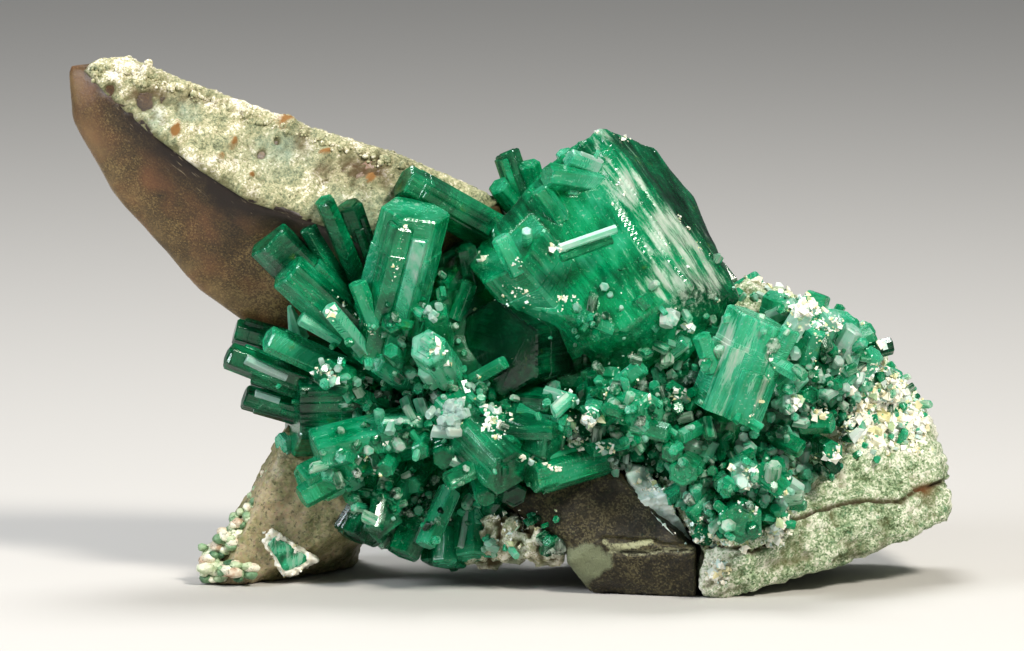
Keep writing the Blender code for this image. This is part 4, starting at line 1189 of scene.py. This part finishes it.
class Surfaces:
    """The surfaces that small crystals and grains are put on, and what each of their faces is."""

    def __init__(self, emeralds, stones):
        self.tree = tree_of([emeralds] + stones)
        self.kinds = [item.value for item in emeralds.data.attributes["bed"].data]

    def met(self, hit, normal, face, distance):
        """Returns the point, the normal and the kind of surface that a ray met."""
        if hit is None:
            return None, None, STONE
        return hit, normal, self.kinds[face] if face < len(self.kinds) else STONE

    def look_at(self, across, up):
        """Returns what is seen at a place of the display side."""
        return self.met(*look_at(self.tree, across, up))

    def all_round(self, middle, spread, on_crystals, rng):
        """Yields points and normals that random rays meet on beds, and a share of those on crystals."""
        for _ in range(RAYS_ALL_ROUND):
            out = Vector((rng.gauss(0, 1), rng.gauss(0.4, 1), rng.gauss(0, 1))).normalized()
            aim = point(middle) + Vector([rng.uniform(-s, s) for s in spread]) * MM
            hit, normal, kind = self.met(*self.tree.ray_cast(aim + out * LOOK_FROM * MM, -out))
            wanted = kind == BED or kind == CRYSTAL and rng.random() < on_crystals
            if wanted and not is_clear(*seen(hit), rng):
                yield hit, normal


# Patches of small crystals, on the display side: the spot, how many, their widths, and the range
# of their milkiness.
DRUSE = [
    ((22.5, 24), (20, 15), 320, (1.2, 3.4), (0.2, 0.95)), ((43, 46), (13.5, 9), 150, (1, 2.8), (0.3, 1)),
    ((-4.5, 41), (16, 15), 230, (1, 3.2), (0.15, 0.8)), ((-62, 19), (10, 10), 90, (1, 2.8), (0.2, 0.85)),
    ((-24, 10), (9, 7), 45, (0.9, 2.6), (0.1, 0.6)), ((-53, 62), (13, 9), 70, (0.8, 2.4), (0.3, 0.85)),
    ((-69, 42), (12, 9), 110, (0.8, 2.6), (0.2, 0.85)),
    ((-50, 44), (18, 12), 240, (0.8, 2.8), (0.15, 0.9)),
    ((-36, 33), (15, 10), 150, (0.8, 2.8), (0.15, 0.8)),
    ((-58, 33), (14, 7), 130, (0.7, 2.4), (0.15, 0.85)), ((-50, 17), (14, 8), 80, (0.8, 2.4), (0.1, 0.7)),
    ((2, 64), (14, 9), 70, (0.7, 2.2), (0.4, 0.95)), ((53, 39), (10, 9), 90, (0.7, 2), (0.3, 0.9)),
    ((27, 62), (14, 7), 60, (0.7, 2.4), (0.5, 0.95)), ((-16, 56), (9, 7), 35, (0.7, 2), (0.5, 0.95)),
    ((12, 14), (9, 6), 50, (1, 2.6), (0.2, 0.8)),
]
# Clusters of crystals that grow on whatever is there, written as in DRUSE.
CLUSTERS = [
    ((-44.9, 37.9), (2.6, 3.2), 34, (1.4, 2.9), (0.95, 1.15)),
    ((-22.5, 9), (2.2, 2), 12, (2, 3.6), (0.05, 0.4)), ((-34, 8), (5, 2), 9, (1, 2.4), (0.5, 0.9)),
    ((-26, 14), (5, 2), 9, (1, 2.2), (0.2, 0.8)), ((-8, 26.5), (5, 3), 12, (1, 2.4), (0.85, 1.1)),
    ((-73, 48), (4, 3), 9, (0.8, 1.8), (0.85, 1.1)), ((-50, 61.5), (2, 2), 8, (1, 2.4), (0.9, 1.1)),
    ((3.5, 60.5), (1.5, 1.5), 3, (2.6, 4.2), (0.75, 0.95)),
    ((-14, 58.5), (2.6, 1.6), 6, (1, 2.2), (0.4, 0.8)), ((7, 50), (8, 6), 12, (1, 2.4), (0.5, 0.9)),
]
# Faces of large crystals that few small ones grow on.
CLEAR = [
    ((-31, 53), (14, 10)), ((21.5, 49), (6.5, 10)), ((-57, 73), (8, 13)), ((-74, 38), (9, 5)),
    ((-20, 82), (11, 9)), ((5, 82), (9, 16)), ((-38, 32), (7, 6)), ((-80, 66), (9, 9)),
    ((-26, 31), (7, 4)),
]


def is_clear(across, up, rng):
    """Tells whether a small crystal is left out here, so that a large face stays in sight."""
    return rng.random() < 1.3 * near_spot(across, up, CLEAR)


# Clumps of white grains, on the display side: the spot, how many, and the largest grain.
WHITE_CLUMPS = [
    ((-6.8, 88.3), (3.5, 4.5), 16, 0.7), ((-30.4, 65.3), (5.4, 3.4), 30, 0.7),
    ((4.3, 60.5), (2, 2), 12, 1.4), ((8.2, 58), (1.6, 1.6), 16, 1.6), ((6.6, 42), (2.6, 1.8), 22, 1.5),
    ((-21.8, 75.3), (1.8, 1.2), 14, 1.2), ((-37.6, 73.2), (1.4, 1.4), 10, 1.2),
    ((-29.9, 72.8), (1, 1.6), 8, 1), ((-44.9, 37.9), (3.4, 3.8), 30, 1.2),
    ((-35.6, 36.7), (3.4, 3.4), 34, 1.5), ((-35.5, 37), (2.4, 2.8), 22, 2.3),
    ((-18.8, 41.3), (1.8, 2.4), 24, 1.5), ((-13.4, 37), (2.2, 2.2), 34, 1.8),
    ((-17.7, 34), (2, 4), 30, 1.4), ((0.2, 22.9), (5.3, 4.3), 60, 1.2), ((36, 29.2), (1.6, 2), 18, 1.5),
    ((38.3, 38.5), (4.3, 1.8), 40, 1.5), ((31.5, 40.8), (2.2, 2.2), 18, 1.6),
    ((20.4, 24.9), (3.6, 3), 22, 1.5), ((33.8, 62.8), (4.8, 3.4), 70, 1.5),
    ((37.9, 57.8), (5, 4), 50, 1.3), ((53.3, 39.7), (10.5, 9), 360, 1.5),
    ((-72.3, 61.5), (1.8, 1.8), 14, 1.3), ((-72.8, 47.4), (3.2, 2.6), 24, 1.3),
    ((-48.7, 53), (3, 3.4), 24, 1.2), ((-4.3, 51.5), (1.5, 1.2), 8, 1.4), ((10, 12), (4, 5), 40, 1.4),
    ((15, 2.6), (3.6, 3.8), 60, 1.6), ((-30, 12), (9, 6), 50, 1.2), ((-6, 44), (9, 9), 40, 1),
    ((24, 20), (14, 9), 60, 1), ((-62, 26), (9, 9), 20, 0.9), ((-52, 42), (22, 16), 30, 0.8),
    ((44, 48), (12, 8), 60, 1), ((-49, 53.4), (1.3, 1.6), 9, 2.2), ((35, 31), (1.6, 2), 6, 2.4),
    ((33, 61.5), (3.5, 1.6), 10, 2.2), ((54, 39.5), (11, 8), 520, 1.9), ((48, 35), (5, 4), 60, 2.4),
    ((61, 33), (3, 5), 90, 1.5), ((57, 42), (6, 4.5), 260, 1.2), ((48, 33), (5, 3), 120, 1.3),
    ((27, 10.5), (3, 2.5), 60, 1.3),
]
# Lines of white grains along edges and seams: the places they pass, how many, and the largest.
WHITE_LINES = [
    ([(-13.5, 102), (-10.5, 103), (-6, 101), (1, 98)], 40, 1), ([(5.7, 83.2), (13.6, 73)], 16, 0.8),
    ([(1.1, 78.7), (9.1, 70.7)], 10, 0.6),
    ([(-20.3, 62), (-19.6, 64.4), (-17.4, 64.6), (-16.2, 63)], 26, 0.9),
    ([(19.3, 70.7), (29.5, 66.2), (37, 62), (44, 58.5)], 80, 1.5),
    ([(26.4, 53.7), (27.6, 50.3), (24.9, 41.3), (21.5, 36.7)], 26, 1),
    ([(-29.5, 28.8), (-20.4, 26.1)], 26, 1.2), ([(-20.4, 30.8), (-14, 32.4), (-8, 30)], 30, 1.3),
    ([(44.2, 32.2), (37.4, 25.4), (31.7, 18.6), (27.2, 9.5)], 150, 1.8),
    ([(4.6, 17.6), (9.6, 10.5)], 16, 1.2),
    ([(-39.7, 41.3), (-34, 40.6), (-31.3, 36.5), (-35, 32.6)], 34, 1.1),
    ([(11.5, 9), (16, 9.8), (24, 8)], 50, 1.5), ([(-72, 66), (-66, 60), (-60, 55)], 26, 0.8),
    ([(46, 52), (55, 47), (60.5, 42)], 60, 1.3),
    ([(-88, 9.5), (-85.5, 12), (-75.8, 5.4), (-81.3, 1.4), (-83.5, 1.6), (-88, 9.5)], 40, 0.6),
    ([(-55, 82), (-58, 68)], 26, 0.7),
]


def within(middle, half_sizes, spread, rng):
    """Returns a random place in a spot."""
    return tuple(m + half * rng.gauss(0, spread) for m, half in zip(middle, half_sizes))


def along_path(path, rng):
    """Returns a random place on a path."""
    part = rng.uniform(0, len(path) - 1)
    (x0, y0), (x1, y1) = path[int(part)], path[int(part) + 1]
    share = part - int(part)
    return x0 + (x1 - x0) * share, y0 + (y1 - y0) * share


def scatter_druse(surfaces, rng):
    """Small crystals over the display side's patches, and more all round the emeralds."""
    gathering = Gathering()
    for middle, half_sizes, count, widths, milks in DRUSE:
        for _ in range(count):
            across, up = within(middle, half_sizes, 0.5, rng)
            hit, normal, kind = surfaces.look_at(across, up)
            bare = kind == STONE and (across < 9.0 or up < 0.36 * across + 9.0)
            if (kind != CRYSTAL or rng.random() < 0.3) and not bare and not is_clear(across, up, rng):
                plant(gathering, hit, normal, widths, milks, rng)
    for middle, half_sizes, count, widths, milks in CLUSTERS:
        for _ in range(count):
            hit, normal, _ = surfaces.look_at(*within(middle, half_sizes, 0.5, rng))
            plant(gathering, hit, normal, widths, milks, rng)
    for hit, normal in surfaces.all_round((-10, 45, 5), (55, 10, 30), 0.08, rng):
        plant(gathering, hit, normal, (1.0, 3.4), (0.1, 0.8), rng)
    return gathering.mesh("small_emeralds")


def plant(gathering, hit, normal, widths, milks, rng):
    """Adds one small crystal on a surface, leaning any way from its normal."""
    if hit is None or hit.z < 4 * MM:
        return
    way = (normal + draw3(rng.gauss, 0, 1) * 0.42).normalized()
    width = widths[0] + (widths[1] - widths[0]) * rng.random() ** 1.7
    add_small_prism(gathering, hit, way, width, width * rng.uniform(0.4, 1.5), rng.uniform(*milks), rng)


def scatter_grains(surfaces, rng):
    """White feldspar grains: in the listed clumps and lines, and thinly all round."""
    gathering = Gathering()
    for middle, half_sizes, count, largest in WHITE_CLUMPS:
        for _ in range(count):
            hit, normal, _ = surfaces.look_at(*within(middle, half_sizes, 0.42, rng))
            drop(gathering, hit, normal, largest, rng)
    for path, count, largest in WHITE_LINES:
        for _ in range(count):
            across, up = along_path(path, rng)
            hit, normal, _ = surfaces.look_at(across + rng.gauss(0, 0.45), up + rng.gauss(0, 0.45))
            drop(gathering, hit, normal, largest, rng)
    for hit, normal in surfaces.all_round((0, 40, 5), (60, 10, 32), 0.1, rng):
        drop(gathering, hit, normal, 1.3, rng)
    return gathering.mesh("feldspar_grains")


def drop(gathering, hit, normal, largest, rng):
    """Adds one to three grains that are part sunk in a surface."""
    if hit is None or hit.z < 1.5 * MM:
        return
    size = largest * (0.22 + 1.0 * rng.random() ** 2.6)
    for _ in range(rng.randint(1, 3)):
        beside = draw3(rng.gauss, 0, 1) * 0.3 * size * MM
        part = size * rng.uniform(0.5, 1.0)
        add_grain(gathering, hit - normal * part * 0.15 * MM + beside, part, rng.uniform(0.4, 0.9), rng)


CRUST_CREST = [
    (-126.5, 116.8), (-119.5, 117), (-113, 114.6), (-105.5, 111.6), (-91.5, 106.6), (-77, 101.2),
    (-66, 97.8), (-57, 95), (-45, 89.5), (-36, 85),
]
KNOB_COUNT = 200


def scatter_knobs(surfaces, rng):
    """Small knobs of crust along its crest, and a small stack of them near its tip."""
    gathering = Gathering()
    for _ in range(KNOB_COUNT):
        across, up = along_path(CRUST_CREST, rng)
        hit, normal, kind = surfaces.look_at(across, up - abs(rng.gauss(0, 1.2)))
        size = 0.3 + 0.7 * rng.random() ** 2.5
        if hit is not None and kind == STONE:
            sizes = [size * rng.uniform(0.7, 1.2) for _ in range(3)]
            add_nodule(gathering, hit + normal * size * 0.3 * MM, sizes, rng, 2)
    hit = surfaces.look_at(-114.0, 115.0)[0]
    for lift, size in ((1.0, 1.3), (2.3, 1.0), (0.4, 1.5)):
        add_nodule(gathering, hit + Vector((0.3 * lift, 0, lift)) * MM, [size] * 3, rng, 3)
    mesh = gathering.mesh("crust_knobs")
    mark(mesh, height=[1.2] * len(mesh.vertices), white=[0.15] * len(mesh.vertices))
    smooth(mesh)
    return mesh


# The nodules' clumps along the foot quartz: middle as a place, and half sizes (across, up, back).
FOOT_CRUST_LUMPS = [
    ((-83.5, 27, 2), (3.2, 3.2, 3.4)), ((-85.5, 24, 1), (3, 2.8, 3.2)), ((-87.5, 21, 0), (2.6, 2.8, 3)),
    ((-89, 18, -1), (3, 2.6, 3.2)), ((-91, 15, -2), (3, 2.9, 3.2)),
    ((-93.5, 12.5, -2.5), (3.2, 2.8, 3.4)), ((-96, 9.5, -3), (3.6, 3, 3.6)),
    ((-99, 6.5, -2), (4.2, 3.4, 4.2)), ((-98, 2.8, -5), (4.6, 2.8, 4)), ((-93, 2.6, -7.5), (4, 2.6, 3)),
]
NODULES_IN_CLUMP = 15


def make_foot_crust(rng):
    """The nodules along the foot quartz: rounded, dimpled, of many sizes."""
    gathering = Gathering()
    for centre, (across, up, back) in FOOT_CRUST_LUMPS:
        for k in range(NODULES_IN_CLUMP):
            share = 0.66 if k == 0 else rng.uniform(0.2, 0.48)
            out = Vector((rng.gauss(0, 1), rng.gauss(-0.4, 1), rng.gauss(0, 1))).normalized()
            away = 0.0 if k == 0 else 0.82
            place = point(centre) + Vector((out.x * across, out.y * back, out.z * up)) * away * MM
            sizes = [size * share for size in (across, back, up)]
            if place.z > sizes[2] * 0.2 * MM:
                add_nodule(gathering, place, sizes, rng, 4 if k == 0 else 3)
    mesh = gathering.mesh("foot_nodules")
    keep_on_ground(mesh)
    smooth(mesh)
    add_object("foot_nodules", mesh, nodule_material(), "green_nodules", "foot_crust")


def block_behind(face, share, lift, thickness):
    """Returns a block behind a face shrunk to a share of its size and lifted in millimetres."""
    middle = sum((Vector(corner) for corner in face), Vector()) / len(face)
    corners = [middle + (Vector(corner) - middle) * share for corner in face]
    vertices = [point((c.x, c.y, c.z - lift)) for c in corners]
    vertices += [point((c.x, c.y, c.z + thickness)) for c in corners]
    count = len(face)
    faces = [range(count), range(2 * count - 1, count - 1, -1)]
    for k in range(count):
        after = (k + 1) % count
        faces.append((k, count + k, count + after, after))
    return closed_mesh("block", vertices, faces)


# The corners of the foot emerald's face, as places.
FOOT_FACE = [
    (-87.8, 9.5, -8.4), (-85.5, 12, -8.2), (-75.3, 5, -5.4), (-81.6, 1.4, -5.6), (-83.2, 1.6, -6),
]


def make_foot_emerald(beryl, grains):
    """The emerald set in the foot quartz: a flat rhombic face in a thick cream rim of grains."""
    mesh = dense(block_behind(FOOT_FACE, 0.76, 0.7, 7.0), 0.3, 2)
    shape_surface(
        mesh, lambda place, normal: 0.25 * rough(place, 3.0, 2),
        lambda place, normal, height: {"milk": 0.55 + 0.4 * rough(place, 3.0, 2), "frost": 0.3},
    )
    mark_grown(mesh, [v.co for v in mesh.vertices])
    rim = dense(block_behind(FOOT_FACE, 1.0, 0.2, 8.0), 0.3, 1)
    shape_surface(
        rim, lambda place, normal: 0.8 * rough(place, 2.4, 3) + 0.5 * cobbles(place, 1.3),
        lambda place, normal, height: {"milk": 0.6 + 0.3 * rough(place, 1.5, 2)},
    )
    return [
        add_object("foot_emerald_face", mesh, beryl, "emerald", "foot_emerald"),
        add_object("foot_emerald_rim", rim, grains, "pale_crust"),
    ]


# The corners, as (across, up), of the pale wedge between the dark quartz and the small crystals.
WEDGE = [(-6.8, 27.4), (-1.6, 26.6), (3.6, 20), (9.4, 9.4), (5.4, 10.6), (-2.6, 18.6)]


def make_wedge(surfaces, grains):
    """The bluish white wedge of feldspar that leans on the dark quartz, with broken faces."""
    face = [(*corner, surfaces.look_at(*corner)[0].y / MM - 0.8) for corner in WEDGE]
    mesh = dense(block_behind(face, 1.0, 0.0, 5.0), 0.35, 2)
    shape_surface(
        mesh, lambda place, normal: 0.5 * round(2.0 * rough(place, 5.0, 1)) + 0.25 * rough(place, 1.5, 3),
        lambda place, normal, height: {"milk": 0.12 + 0.12 * rough(place, 3.0, 2)},
    )
    return add_object("pale_wedge", mesh, grains, "feldspar")


def make_camera():
    """The camera of the display side, with the photograph's framing."""
    middle_across = (IMAGE_WIDTH / 2 - ORIGIN_PIXEL[0]) * MM_PER_PIXEL
    middle_up = (ORIGIN_PIXEL[1] - IMAGE_HEIGHT / 2) * MM_PER_PIXEL / math.cos(VIEW_TILT)
    target = Vector((middle_across, 0, middle_up)) * MM
    away = Vector((0, -math.cos(VIEW_TILT), math.sin(VIEW_TILT)))
    camera = put("camera", bpy.data.cameras.new("camera"))
    camera.location = target + away * CAMERA_DISTANCE
    camera.rotation_euler = (-away).to_track_quat("-Z", "Y").to_euler()
    camera.data.sensor_width = SENSOR_WIDTH
    camera.data.lens = SENSOR_WIDTH * CAMERA_DISTANCE / (IMAGE_WIDTH * MM_PER_PIXEL * MM)
    camera.data.clip_end = 20.0
    bpy.context.scene.camera = camera


# The softboxes: name, place in metres, size, power and colour. They face LIGHT_TARGET.
SOFTBOXES = [
    ("key_light", (0.45, -0.75, 0.85), 0.24, 13.5, "#fff8ee"),
    ("left_light", (-0.85, -0.45, 0.55), 0.3, 6.0, "#f4f8ff"),
    ("top_light", (-0.1, 0.35, 1.1), 0.4, 7.0, "#ffffff"),
]
LIGHT_TARGET = Vector((-0.03, 0.0, 0.05))
FLOOR_REACH = 6.0


def make_studio():
    """A pale paper floor, soft light from all round, and three softboxes."""
    corners = [(x * FLOOR_REACH, y * FLOOR_REACH, 0) for x, y in ((-1, -1), (1, -1), (1, 1), (-1, 1))]
    mesh = bpy.data.meshes.new("floor")
    mesh.from_pydata(corners, [], [(0, 1, 2, 3)])
    floor = put("floor", mesh)
    paper = bpy.data.materials.new("studio_paper")
    paper.use_nodes = True
    looks = {"Base Color": linear("#c2c0bc"), "Roughness": 0.9}
    fill(paper.node_tree, paper.node_tree.nodes["Principled BSDF"], looks)
    mesh.materials.append(paper)
    world = bpy.data.worlds.new("studio")
    bpy.context.scene.world = world
    world.use_nodes = True
    light = {"Color": linear("#e8ecf0"), "Strength": 0.24}
    fill(world.node_tree, world.node_tree.nodes["Background"], light)
    for name, place, size, power, colour in SOFTBOXES:
        box = bpy.data.lights.new(name, "AREA")
        box.shape = "SQUARE"
        box.size = size
        box.energy = power
        box.color = linear(colour)[:3]
        made = put(name, box)
        made.location = place
        made.rotation_euler = (LIGHT_TARGET - Vector(place)).to_track_quat("-Z", "Y").to_euler()


def set_rendering():
    """Sets how light is followed and shown."""
    scene = bpy.context.scene
    scene.view_settings.view_transform = "Standard"
    scene.view_settings.look = "Medium High Contrast"
    scene.cycles.max_bounces = 12
    scene.cycles.diffuse_bounces = 3
    scene.cycles.glossy_bounces = 4
    scene.cycles.transmission_bounces = 10
    scene.cycles.transparent_max_bounces = 4
    scene.cycles.sample_clamp_indirect = 6.0
    scene.cycles.blur_glossy = 0.5
    scene.cycles.use_denoising = True


make_camera()
make_studio()
set_rendering()
beryl, crust, grains = emerald_material(), crust_material(), grain_material()
emeralds = make_emeralds(beryl)
stones = [
    make_long_quartz(), make_quartz_crust(crust), make_foot_quartz(), make_base_quartz(),
    make_matrix_slab(), make_pale_crust(crust),
]
scatter_rng = random.Random(SEED + 1)
make_foot_crust(scatter_rng)
stones.extend(make_foot_emerald(beryl, grains))
stones.append(make_wedge(Surfaces(emeralds, stones), grains))
surfaces = Surfaces(emeralds, stones)
add_object("small_emeralds", scatter_druse(surfaces, scatter_rng), beryl, "emerald")
add_object("crust_knobs", scatter_knobs(surfaces, scatter_rng), crust, "pale_crust")
add_object("feldspar_grains", scatter_grains(surfaces, scatter_rng), grains, "feldspar")
